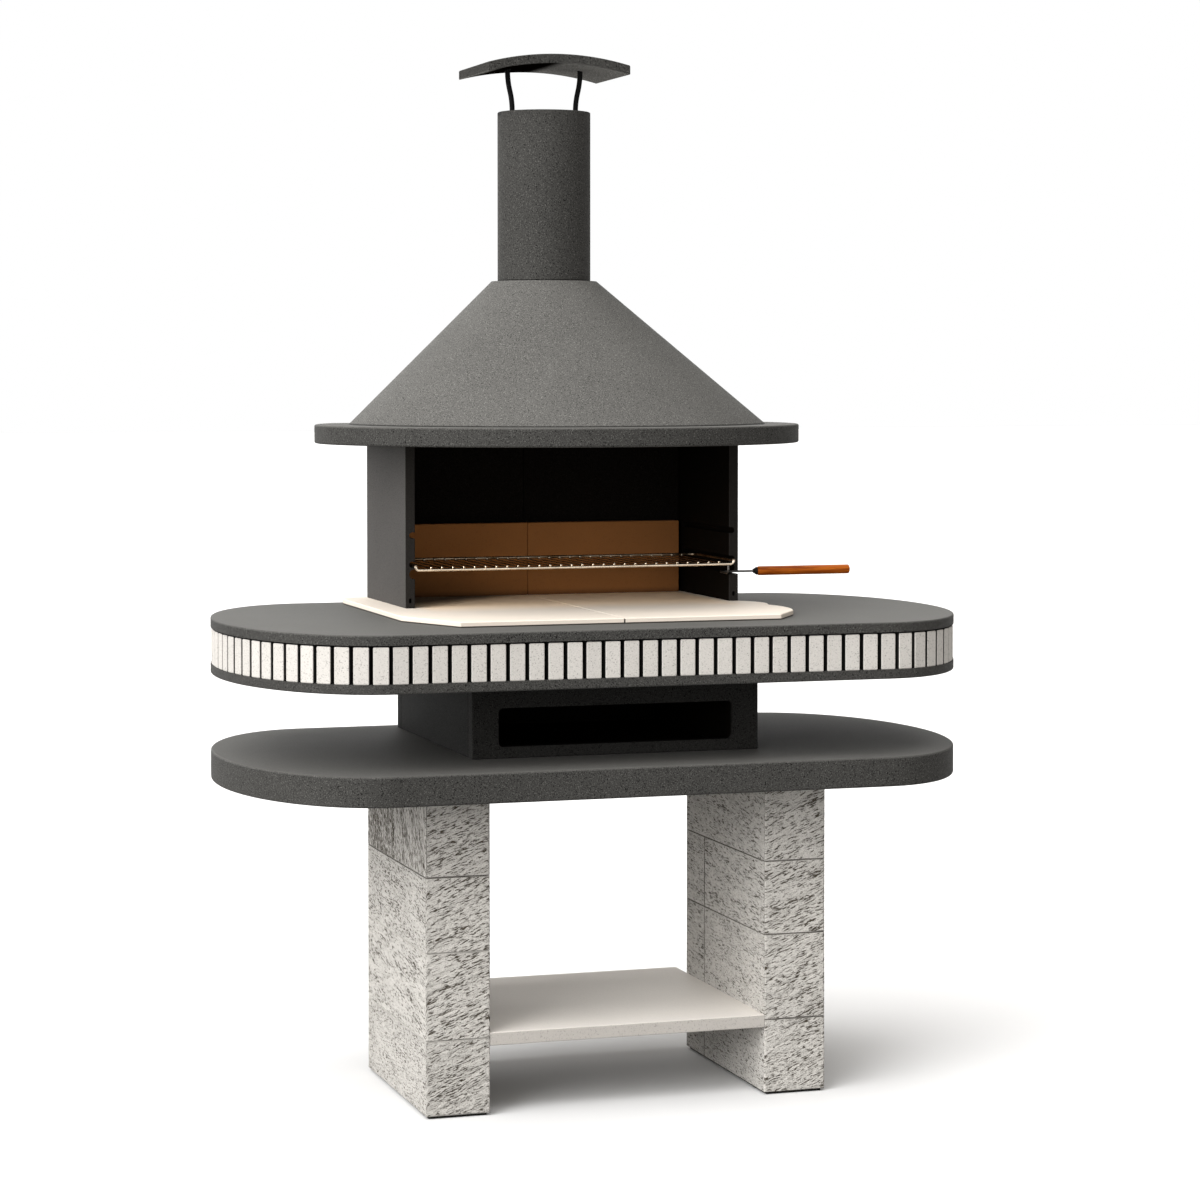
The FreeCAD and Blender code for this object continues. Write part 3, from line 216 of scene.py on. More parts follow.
class Shape(Graph):
    """A Geometry Nodes tree with named inputs that ends as a plain mesh."""

    def __init__(self, name, **inputs):
        super().__init__(bpy.data.node_groups.new(name, "GeometryNodeTree"))
        face = self.tree.interface
        face.new_socket("Geometry", in_out="OUTPUT", socket_type="NodeSocketGeometry")
        for label, kind in inputs.items():
            face.new_socket(label, in_out="INPUT", socket_type=f"NodeSocket{kind}")
        self.given = self.add("NodeGroupInput")

    def value(self, label):
        """One of the tree's named inputs."""
        return self.given.other(label)

    def store(self, geometry, name, value, domain="POINT"):
        """Keep a number on the mesh or its instances for the material."""
        kind = {"data_type": "FLOAT", "domain": domain}
        sockets = {"Geometry": geometry, "Name": name, "Value": value}
        return self.add("GeometryNodeStoreNamedAttribute", kind, sockets)

    def smooth(self, geometry, rounded=True):
        """Shade a geometry's faces smooth or flat."""
        sockets = {"Geometry": geometry, "Shade Smooth": rounded}
        return self.add("GeometryNodeSetShadeSmooth", None, sockets)

    def middle(self):
        """The point halfway between the inputs low and high."""
        return self.scale(self.vector("ADD", self.value("low"), self.value("high")), 0.5)

    def chance(self, seed):
        """A random number from 0 to 1 for each element."""
        sockets = {2: 0.0, 3: 1.0, "Seed": seed}
        return self.add("FunctionNodeRandomValue", {"data_type": "FLOAT"}, sockets, 1)

    def close(self, geometry):
        """Make instances real, set the material and end the tree."""
        real = self.add("GeometryNodeRealizeInstances", None, {0: geometry})
        sockets = {"Geometry": real, "Material": self.value("finish")}
        self.add("NodeGroupOutput", None, {0: self.add("GeometryNodeSetMaterial", None, sockets)})
        return self

    def make(self, name, **values):
        """Run the tree with these inputs and keep the result as a plain mesh."""
        holder = bpy.data.objects.new(f"{name}_tree", bpy.data.meshes.new(f"{name}_tree"))
        bpy.context.scene.collection.objects.link(holder)
        modifier = holder.modifiers.new("tree", "NODES")
        modifier.node_group = self.tree
        for item in self.tree.interface.items_tree:
            if item.in_out == "INPUT":
                modifier[item.identifier] = values[item.name]
        evaluated = holder.evaluated_get(bpy.context.evaluated_depsgraph_get())
        mesh = bpy.data.meshes.new_from_object(evaluated)
        mesh.name = name
        holder.modifiers.clear()
        bpy.data.objects.remove(holder)
        if not mesh.polygons:
            raise RuntimeError(f"{name} came out empty")
        piece = bpy.data.objects.new(name, mesh)
        bpy.context.scene.collection.objects.link(piece)
        return piece


# Settings

def length(name, description, default):
    """A length in metres."""
    return bpy.props.FloatProperty(
        name=name, description=description, default=default, unit="LENGTH", precision=5)


def colour(name, description, default):
    """A colour in linear light."""
    return bpy.props.FloatVectorProperty(
        name=name, description=description, default=default, subtype="COLOR", size=3, min=0.0, max=1.0)


def share(name, description, default):
    """A number from 0 to 1."""
    return bpy.props.FloatProperty(
        name=name, description=description, default=default, subtype="FACTOR", min=0.0, max=1.0)


def direction(name, description, default):
    """A direction towards a light."""
    return bpy.props.FloatVectorProperty(
        name=name, description=description, default=default, subtype="DIRECTION", size=3)


def strength(name, description, default):
    """The strength of a light."""
    return bpy.props.FloatProperty(name=name, description=description, default=default, min=0.0)


def spread(name, description, degrees):
    """The angle that a light fills."""
    return bpy.props.FloatProperty(
        name=name, description=description, default=math.radians(degrees), subtype="ANGLE", min=0.0)


class PillarSettings(bpy.types.PropertyGroup):
    """Stone blocks of the pillars"""

    cell: length("Cell", "Mesh size of the blocks", 3.0 * MM)
    face_relief: length("Face relief", "Depth of the crevices in front and back faces", 1.1 * MM)
    side_relief: length("Side relief", "Depth of the crevices in side faces", 0.9 * MM)
    edge_wear: length("Edge wear", "How far the edges of the blocks are worn back", 0.9 * MM)
    pale: colour("Pale stone", "Colour of the ridges", (0.535, 0.515, 0.482))
    # The dark colour paints the shade of hollows and strokes, and colours pits and seams
    dark: colour("Dark stone", "Colour of the crevices", (0.065, 0.055, 0.042))
    pad: colour("Pads", "Colour of the levelling pads", (0.02, 0.02, 0.018))


class WorktopSettings(bpy.types.PropertyGroup):
    """Slats round the worktop"""

    edge_round: length("Edge round", "Rounding of the slats' edges", 1.3 * MM)
    unevenness: length("Unevenness", "How far slats stand back", 0.6 * MM)
    slat: colour("Slat stone", "Colour of the slats", (0.50, 0.478, 0.448))
    # The gap colour is painted shade on the slats' sides
    gap_shade: colour("Grout", "Colour of the grout between the slats", (0.01, 0.01, 0.009))


class ConcreteSettings(bpy.types.PropertyGroup):
    """Anthracite concrete of slabs, walls, hood and flue"""

    tone: colour("Concrete", "Colour of the concrete", (0.043, 0.042, 0.0395))
    # The soot colour also paints shade: in the niche, on the worktop's core between the slats and deep in
    # the firebox
    soot_and_shade: colour("Soot", "Colour of sooty concrete", (0.0021, 0.0014, 0.0008))
    contrast: share("Contrast", "Strength of the light and dark grains", 1.0)
    fittings: colour("Fittings", "Colour of the painted strap and posts", (0.006, 0.006, 0.006))


class StoneSettings(bpy.types.PropertyGroup):
    """Shelf, hearth and firebricks"""

    shelf: colour("Shelf", "Colour of the lower shelf", (0.43, 0.405, 0.375))
    hearth: colour("Hearth", "Colour of the hearth tiles", (0.68, 0.61, 0.53))
    # The tiles inside the firebox take this colour as painted warm light, tan and brighter
    warm_light_tone: colour("Heated hearth", "Colour of the tiles inside the firebox", (0.96, 0.73, 0.50))
    brick: colour("Firebrick", "Colour of the firebricks", (0.28, 0.115, 0.034))


class GrateSettings(bpy.types.PropertyGroup):
    """Wires and handle of the grate"""

    sides: bpy.props.IntProperty(
        name="Sides", description="Sides of a wire's round section", default=12, min=6, max=32)
    steel: colour("Steel", "Colour of the plated wire", (0.80, 0.68, 0.54))
    stem: colour("Stem", "Colour of the bare stem", (0.12, 0.115, 0.11))
    ferrule: colour("Ferrule", "Colour of the painted ferrule", (0.012, 0.011, 0.010))
    wood: colour("Wood", "Colour of the grip", (0.385, 0.086, 0.006))


class StageSettings(bpy.types.PropertyGroup):
    """Camera, floor and light"""

    lens: bpy.props.FloatProperty(
        name="Lens", description="Focal length", default=96.925, unit="CAMERA", min=1.0)
    camera_place: bpy.props.FloatVectorProperty(
        name="Camera place", description="Where the camera stands",
        default=(-1.962208, -6.201020, 1.438979), subtype="TRANSLATION", size=3)
    camera_turn: bpy.props.FloatVectorProperty(
        name="Camera turn", description="Where the camera looks",
        default=(math.radians(88.148), 0.0, math.radians(-17.839)), subtype="EULER", size=3)
    frame_shift: bpy.props.FloatProperty(
        name="Frame shift", description="How far the frame sits off the lens axis", default=-0.11)
    floor: colour("Floor", "Colour of the floor", (0.74, 0.74, 0.74))
    ambient: share("Ambient", "Strength of the light from all sides", 0.24)
    bounce: share("Bounce", "Share of the light that the floor throws back", 0.42)
    fill: colour("Fill", "Colour of the light from all sides", (1.0, 0.91, 0.79))
    key_direction: direction(
        "Key direction", "Where the side light comes from", (-0.83, -0.37, 0.42))
    key_strength: strength("Key strength", "Strength of the side light", 4.1)
    key_spread: spread("Key spread", "Angle that the side light fills", 60.0)
    front_direction: direction(
        "Front direction", "Where the light from the front comes from", (-0.45, -0.85, 0.27))
    front_strength: strength("Front strength", "Strength of the light from the front", 1.5)
    front_spread: spread("Front spread", "Angle that the light from the front fills", 90.0)
    back_direction: direction(
        "Back direction", "Where the light from behind comes from", (-0.15, 0.95, 0.26))
    back_strength: strength("Back strength", "Strength of the light from behind", 1.5)
    back_spread: spread("Back spread", "Angle that the light from behind fills", 70.0)
    top_direction: direction(
        "Top direction", "Where the light from above comes from", (-0.10, -0.05, 0.99))
    top_strength: strength("Top strength", "Strength of the light from above", 2.9)
    top_spread: spread("Top spread", "Angle that the light from above fills", 70.0)


def settings_of(name):
    """The scene's settings of one group."""
    return getattr(bpy.context.scene, f"fireplace_{name}")


# Finishes

# Patterns that several stones share
CLOUD = {"scale": 7.0, "detail": 4.0, "roughness": 0.6}
FINE = {"scale": 430.0, "detail": 2.0, "roughness": 0.65}
FINE_RELIEF = {"strength": 0.3, "distance": 0.3 * MM}
# How far the thin strokes of the split stone waver
STROKE_BEND = 4.0 * MM
# From where to where, front to back, the hearth turns tan and brighter with painted warm light, and how
# the painted shadow of the left wall leaves the corner
WARM_LIGHT_START = -80.0 * MM
WARM_LIGHT_END = 160.0 * MM
CORNER_SLOPE = 0.78


def tinted(tone, gains):
    """A colour with each channel multiplied by its own number."""
    return tuple(channel * gain for channel, gain in zip(tone, gains))


def concrete_finish(name, tone, top=None, shade_foot=None, soot_and_shade=(), underside_mark=None, sheen=0.04, grit=1.0):
    """Anthracite concrete with pale and dark grains, as strong as grit says.

    Above the height top it is polished smooth and painted lighter as top light and sheen, with a painted
    highlight just below the top edge. Just above the given height of its lower joint it is darkened as
    painted shade where it meets the part below. Each box of soot and painted shade blackens what lies in
    it by its own amount. With a mark place given, down-facing faces are painted lighter as reflected
    light, with a black mark across at that place that is partly soot and partly painted shade.
    """
    own = settings_of("concrete")
    finish = Finish(name)
    across, _, height = finish.parts(finish.place)
    cloud = finish.noise(finish.place, scale=6.0, detail=4.0, roughness=0.6)
    fine = finish.noise(finish.place, scale=560.0, detail=2.0, roughness=0.7)
    pale = finish.grains(460.0, 0.55, 0.72, (3.1, 1.7, 0.4))
    dark = finish.grains(430.0, 0.55, 0.72, (8.3, 2.9, 5.6))
    grain = (fine - 0.5) * 1.2 + pale * 1.2 - dark * 0.9
    level = 1.0 + (cloud - 0.5) * 0.3
    contrast = own.contrast * grit
    if top is not None:
        # Painted light: the polished top is lighter as top light and sheen, and a painted highlight runs
        # just below its edge
        ground_and_lit_top = finish.step(height, top - 1.0 * MM, top - 0.3 * MM)
        highlight_and_wear = finish.step(height, top - 4.0 * MM, top - 2.0 * MM) * (1.0 - ground_and_lit_top)
        level = level + highlight_and_wear * 0.5 + ground_and_lit_top * 1.2
        contrast = contrast * (1.0 - ground_and_lit_top * 0.6)
    level = level + grain * contrast
    # Painted shade: a dark band just above the joint with the part below
    if shade_foot is not None:
        level = level * (0.25 + 0.75 * finish.step(height, shade_foot + 1.0 * MM, shade_foot + 4.0 * MM))
    body = finish.scale(tone, level)
    black = [finish.inside(low, high) * amount for low, high, amount in soot_and_shade]
    # Painted light: down-facing faces are lighter as reflected light; the black mark across is partly soot
    # and partly painted shade
    if underside_mark is not None:
        normal = finish.add("ShaderNodeNewGeometry", out="Normal")
        down = finish.step(-finish.parts(normal)[2], 0.6, 0.9)
        body = finish.scale(body, 1.0 + down * 4.5)
        black.append(down * (1.0 - finish.step(abs(across - underside_mark), 50.0 * MM, 85.0 * MM)))
    # Boxes of soot and painted shade blend the body towards the soot colour
    for blend in black:
        body = finish.vector("ADD", finish.scale(body, 1.0 - blend), finish.scale(own.soot_and_shade, blend))
    relief = finish.bump((fine + pale - dark) * 0.5, strength=0.4 * grit, distance=0.5 * MM)
    return finish.shade(
        Base_Color=body, Roughness=0.7 + (fine - 0.5) * 0.3, Normal=relief, Specular_IOR_Level=sheen)


def split_stone_finish(pale, dark, open_joint):
    """Split stone with thin strokes, pits and seams; hollows and strokes are darker, partly as painted
    shade, and the left seams below open_joint are pale lines.
    """
    finish = Finish("split_stone")
    x, y, z = finish.parts(finish.place)
    marked = finish.attribute("marked")
    own = finish.attribute("tint")
    # Painted shade: the hollows of the relief are darker
    hollow_shade = 1.0 - finish.step(finish.attribute("relief"), 0.1, 0.9)
    bend = (finish.noise(finish.place, scale=28.0, detail=2.0) - 0.5) * STROKE_BEND
    along, across = turned(x + y, z + bend, finish.attribute("turn"))
    stroke = finish.noise(
        finish.point(along * 76.0, across * 400.0, own * 40.0), detail=2.0, roughness=0.6)
    cluster = finish.noise(finish.point(along * 11.0, across * 52.0, own * 40.0 + 7.0), detail=3.0)
    # The dark strokes are partly the stone's marks and partly painted shade in their hollows
    marks_and_shade = finish.step(stroke + (cluster - 0.5) * 0.3 + (marked - 1.0) * 0.05, 0.50, 0.68)
    fine = finish.noise(finish.place, scale=480.0, detail=2.0, roughness=0.7)
    pits = finish.grains(430.0, 0.57, 0.63)
    cloud = finish.noise(finish.place, scale=9.0, detail=3.0, roughness=0.55)
    seam = 1.0 - finish.step(finish.attribute("seam"), 0.3 * MM, 1.3 * MM)
    # Below open_joint the left pillar's seams are pale lines instead of dark ones
    low_joint = 1.0 - finish.step(z, open_joint - 20.0 * MM, open_joint - 10.0 * MM)
    pale_seam = seam * low_joint * finish.step(-x, 0.0, 10.0 * MM)
    shadow = hollow_shade * 0.12 + marks_and_shade * (0.2 + 0.95 * marked) + pits * 0.35 + seam * 0.55
    shadow = shadow.math("MINIMUM", 1.0) * (1.0 - pale_seam * 0.9)
    light = 0.86 + 0.14 * marked + (cloud - 0.5) * 0.2 + (fine - 0.5) * 0.5
    light = light + (own - 0.5) * 0.08 + pale_seam * 0.2
    body = finish.scale(finish.mix(shadow, pale, dark), light)
    relief = finish.bump(fine * 0.4 - marks_and_shade * marked - pits * 0.4, strength=1.0, distance=1.0 * MM)
    return finish.shade(Base_Color=body, Roughness=0.9, Normal=relief, Specular_IOR_Level=0.15)


def slat_finish(tone, gap_shade):
    """Pale cast stone with fine dark grains; each slat has its own tint, and its sides behind its face are
    near black as painted shade in the gaps.
    """
    finish = Finish("slat_stone")
    own = finish.attribute("tint")
    fine = finish.noise(finish.place, scale=520.0, detail=2.0, roughness=0.65)
    grains = finish.grains(340.0, 0.58, 0.72)
    cloud = finish.noise(finish.place, scale=12.0, detail=2.0)
    level = 1.0 + (own - 0.5) * 0.08 + (fine - 0.5) * 0.4 + (cloud - 0.5) * 0.12 - grains * 0.42
    # Painted shade: the slat's sides, more than about 2 mm behind its face, take the dark gap colour
    behind = finish.step(finish.attribute("depth"), 1.0 * MM, 2.2 * MM)
    body = finish.scale(finish.mix(behind, tone, gap_shade), level)
    relief = finish.bump(fine - grains * 0.5, strength=0.35, distance=0.4 * MM)
    return finish.shade(Base_Color=body, Roughness=0.8, Normal=relief, Specular_IOR_Level=0.2)


def shelf_finish(tone, top):
    """Pale stone with fine grains, polished on top and painted lighter there as top light."""
    finish = Finish("shelf_stone")
    # Painted light: the polished top is lighter
    ground_and_lit_top = finish.step(finish.parts(finish.place)[2], top - 1.0 * MM, top - 0.3 * MM)
    cloud = finish.noise(finish.place, **CLOUD)
    fine = finish.noise(finish.place, **FINE)
    grains = finish.grains(300.0, 0.58, 0.72) * (1.0 - ground_and_lit_top * 0.7)
    level = 1.0 + ground_and_lit_top * 0.72 + (cloud - 0.5) * 0.12 + (fine - 0.5) * 0.25 - grains * 0.25
    return finish.shade(
        Base_Color=finish.scale(tone, level), Roughness=0.7 + (fine - 0.5) * 0.2,
        Normal=finish.bump(fine, **FINE_RELIEF), Specular_IOR_Level=0.25)


def hearth_finish(tone, warm_light_tone, low, joint, corner):
    """Cream tile with a painted contact shadow along its lower edge, painted warm light that turns it tan
    and brighter towards the back of the firebox, and a painted shadow of the left wall in the firebox's
    left corner.
    """
    finish = Finish("hearth_tile")
    x, y, z = finish.parts(finish.place)
    cloud = finish.noise(finish.place, **CLOUD)
    fine = finish.noise(finish.place, **FINE)
    wall = abs(corner.x)
    between_walls = 1.0 - finish.step(abs(x), wall - 35.0 * MM, wall + 10.0 * MM)
    # Painted warm light: tan and brighter towards the back, between the walls
    burnt_and_lit = finish.step(y + (cloud - 0.5) * (50.0 * MM), WARM_LIGHT_START, WARM_LIGHT_END) * between_walls
    # Painted shadow of the left wall, widening from the corner towards the back
    behind = y - corner.y - (x - corner.x) * CORNER_SLOPE + (cloud - 0.5) * (40.0 * MM)
    wall_shadow = finish.step(behind, -20.0 * MM, 100.0 * MM)
    wall_shadow = wall_shadow * finish.step(x, corner.x - 10.0 * MM, corner.x) * 0.85
    # Painted contact shadow along the tile's lower edge; the joint between the tiles is dark
    contact_shadow = 1.0 - finish.step(z, low.z + 2.0 * MM, low.z + 3.2 * MM)
    at_joint = 1.0 - finish.step(abs(x - joint.x), 0.8 * MM, 2.0 * MM)
    gap = at_joint * (1.0 - finish.step(z, joint.z - 3.0 * MM, joint.z))
    level = (1.0 + (cloud - 0.5) * 0.08 + (fine - 0.5) * 0.08) * (1.0 - wall_shadow)
    level = level * (1.0 - contact_shadow.math("MAXIMUM", gap) * 0.9)
    return finish.shade(
        Base_Color=finish.scale(finish.mix(burnt_and_lit, tone, warm_light_tone), level),
        Roughness=0.7 + (fine - 0.5) * 0.2, Normal=finish.bump(fine, **FINE_RELIEF),
        Specular_IOR_Level=0.15)


def brick_finish(tone, low, high):
    """Firebrick with painted shade along its lower edge under the grate, a painted shadow of the left wall
    in its lower left corner, and darker towards the right.
    """
    finish = Finish("firebrick")
    x, _, z = finish.parts(finish.place)
    cloud = finish.noise(finish.place, **CLOUD)
    fine = finish.noise(finish.place, **FINE)
    grains = finish.grains(260.0, 0.60, 0.74)
    up = (z - low.z) / (high.z - low.z)
    right = (x - low.x) / (high.x - low.x)
    # Painted shade along the lower edge under the grate and a painted shadow of the left wall in the lower
    # left corner
    shade_foot = 1.0 - finish.step(z, low.z, low.z + 14.0 * MM)
    corner = 1.0 - finish.step(up + right * 1.2, 0.0, 0.9)
    level = 1.0 + (cloud - 0.5) * 0.2 + (fine - 0.5) * 0.2 - grains * 0.12
    level = level * (1.0 - corner * 0.55) * (1.0 - shade_foot * 0.5) * (1.15 - 0.35 * right)
    return finish.shade(
        Base_Color=finish.scale(tone, level), Roughness=0.85,
        Normal=finish.bump(fine, **FINE_RELIEF), Specular_IOR_Level=0.15)


def steel_finish(name, tone, burnt_and_lit, rough=0.28):
    """Drawn steel with fine lines, darkened by heat in patches; welds that the mesh flags stay bright,
    partly as bare weld metal and partly as a painted highlight.
    """
    finish = Finish(name)
    heat = finish.noise(finish.place, scale=26.0, detail=3.0, roughness=0.6)
    lines = finish.noise(finish.mapped((60.0, 6.0, 60.0)), scale=40.0, detail=2.0, roughness=0.6)
    dull = (finish.step(heat, 0.30, 0.70) * 0.3 + burnt_and_lit) * (1.0 - finish.attribute("weld"))
    warm = tinted(tone, (0.10, 0.075, 0.05))
    body = finish.scale(finish.mix(dull.math("MINIMUM", 1.0), tone, warm), 0.9 + lines * 0.2)
    return finish.shade(Base_Color=body, Metallic=1.0, Roughness=rough + (lines - 0.5) * 0.15)


def painted_steel_finish(name, tone):
    """Black painted steel with a slight orange peel."""
    finish = Finish(name)
    peel = finish.noise(finish.place, scale=300.0, detail=2.0)
    return finish.shade(
        Base_Color=finish.scale(tone, 0.8 + peel * 0.4), Roughness=0.6 + (peel - 0.5) * 0.2,
        Normal=finish.bump(peel, strength=0.15, distance=0.2 * MM), Specular_IOR_Level=0.05)


def wood_finish(tone):
    """Varnished wood with grain along the grip."""
    finish = Finish("varnished_wood")
    grain = finish.noise(
        finish.mapped((7.0, 150.0, 150.0)), scale=1.6, detail=5.0, roughness=0.6, distortion=0.6)
    pores = finish.noise(finish.mapped((40.0, 900.0, 900.0)), detail=2.0, roughness=0.6)
    dark = tinted(tone, (0.55, 0.45, 0.40))
    light = tinted(tone, (1.25, 1.40, 1.40))
    streaks = finish.mix(finish.step(grain, 0.36, 0.66), dark, light)
    body = finish.scale(streaks, 1.05 - finish.step(pores, 0.58, 0.75) * 0.3)
    relief = finish.bump(grain, strength=0.15, distance=0.3 * MM)
    return finish.shade(Base_Color=body, Roughness=0.45, Normal=relief, Specular_IOR_Level=0.1)


def dress(finish, *names):
    """Give CAD nodes a finish."""
    for name in names:
        for held in NODES[name].material_slots:
            held.material = finish


def top_of(name):
    """The height of a node's top."""
    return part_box(name)[1].z


def ride(piece, body, slot, *nodes):
    """Fix a finished piece to its body, in the place of CAD nodes."""
    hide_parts(*nodes)
    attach(piece, body)


# Pieces

# How steeply the strokes rise, in radians
FACE_TURN = 0.36
SIDE_TURN = 0.12
STEEP_TURN = 1.2
# How strongly the sides are marked: the left pillar's top blocks, whose strong marks also paint the shade
# under the slab, then the other blocks of each pillar
STEEP_MARKS_AND_SHADE = {"left_pillar_block_4_rear": 2.2, "left_pillar_block_4_front": 1.4}
SIDE_MARKS = {"left": 0.85, "right": 0.8}
# A distance that puts a seam out of reach
NO_SEAM = 1.0
# Height of a block's mesh cell over its width
CELL_RISE = 0.75
# How far the crevices waver and how far from an edge they are at full depth
CREVICE_BEND = 8.0 * MM
CREVICE_MARGIN = 5.0 * MM


def block_tree():
    """A stone block between two corners with crevices in its faces and worn edges."""
    shape = Shape(
        "split_block", low="Vector", high="Vector", cell="Float", face_relief="Float", side_relief="Float",
        edge_wear="Float", side_turn="Float", side_marks="Float", front_joint="Float", rear_joint="Float",
        seed="Float", finish="Material")
    size = shape.vector("SUBTRACT", shape.value("high"), shape.value("low"))
    wide, deep, tall = shape.parts(size)
    cell, seed = shape.value("cell"), shape.value("seed")
    cube = shape.add("GeometryNodeMeshCube", None, {
        "Size": size, "Vertices X": wide / cell + 1.0, "Vertices Y": deep / cell + 1.0,
        "Vertices Z": tall / (cell * CELL_RISE) + 1.0})
    x, y, z = shape.parts(shape.add("GeometryNodeInputPosition"))
    normal = shape.add("GeometryNodeInputNormal")
    across_share, ahead_share, _ = shape.parts(shape.vector("ABSOLUTE", normal))
    front, side = shape.step(ahead_share, 0.5, 0.8), shape.step(across_share, 0.5, 0.8)
    from_x, from_y, from_z = wide / 2.0 - abs(x), deep / 2.0 - abs(y), tall / 2.0 - abs(z)
    nearest = from_x.math("MINIMUM", from_y).math("MINIMUM", from_z)
    farthest = from_x.math("MAXIMUM", from_y).math("MAXIMUM", from_z)
    to_edge = from_x + from_y + from_z - nearest - farthest
    level = x * front + y * side
    turn = front * FACE_TURN + side * shape.value("side_turn")
    waves = shape.noise(shape.point(level * 24.0, z * 24.0, seed * 2.3), detail=2.0)
    along, across = turned(level, z + (waves - 0.5) * CREVICE_BEND, turn)
    stroke = shape.noise(shape.point(along * 26.0, across * 120.0, seed * 17.3), detail=1.0)
    cluster = shape.noise(shape.point(level * 17.0, z * 27.0, seed * 3.7 + 80.0), detail=3.0)
    crevice = shape.step(stroke + (cluster - 0.5) * 0.3, 0.42, 0.70)
    crevice = crevice * shape.step(to_edge, 0.0, CREVICE_MARGIN)
    sunk = crevice * (front * shape.value("face_relief") + side * shape.value("side_relief"))
    wear = (1.0 - shape.step(to_edge, 0.0, cell * 0.9)) * shape.value("edge_wear")
    kept = shape.store(cube, "relief", 1.0 - crevice)
    kept = shape.store(kept, "marked", front + side * shape.value("side_marks"))
    kept = shape.store(kept, "turn", turn)
    ahead = deep / 2.0 + y + (1.0 - shape.value("front_joint")) * NO_SEAM
    behind = deep / 2.0 - y + (1.0 - shape.value("rear_joint")) * NO_SEAM
    kept = shape.store(kept, "seam", ahead.math("MINIMUM", behind).math("MINIMUM", from_z))
    lot = shape.add("ShaderNodeTexWhiteNoise", {"noise_dimensions": "1D"}, {"W": seed}, "Value")
    kept = shape.store(kept, "tint", lot)
    offset = shape.vector("ADD", shape.scale(normal, -(sunk + wear)), shape.middle())
    moved = shape.add("GeometryNodeSetPosition", None, {"Geometry": kept, "Offset": offset})
    return shape.close(shape.smooth(moved))


def build_pillars():
    """Replace the pillars' blocks by split stones and finish their pads."""
    own = settings_of("pillars")
    finish = split_stone_finish(own.pale, own.dark, top_of("left_pillar_block_3"))
    tree = block_tree()
    blocks = sorted(name for name in NODES if "_pillar_block_" in name)
    for seed, name in enumerate(blocks, start=1):
        low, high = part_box(name)
        piece = tree.make(
            f"{name}_stone", low=low, high=high, cell=own.cell, face_relief=own.face_relief,
            side_relief=own.side_relief, edge_wear=own.edge_wear,
            side_turn=STEEP_TURN if name in STEEP_MARKS_AND_SHADE else SIDE_TURN,
            side_marks=STEEP_MARKS_AND_SHADE.get(name, SIDE_MARKS[name.split("_")[0]]),
            front_joint=float(name.endswith("_rear")), rear_joint=float(name.endswith("_front")),
            seed=float(seed), finish=finish)
        ride(piece, FRAME_BODY, "pillar_stone", name)
    dress(concrete_finish("pad_stone", own.pad), "left_pillar_pad", "right_pillar_pad")


SLAT_STEP = 37.5 * MM
SLAT_WIDTH = 29.5 * MM
SLAT_GAP = 3.0 * MM
SLAT_THICKNESS = 20.0 * MM
SLAT_RECESS = 1.5 * MM
SLAB_END_LENGTH = 255.0 * MM
# Seed of the slats' places and what is added to it for their tints
SLAT_SEED = 11
TINT_SEED = 7.0
OVAL_POINTS = 1440


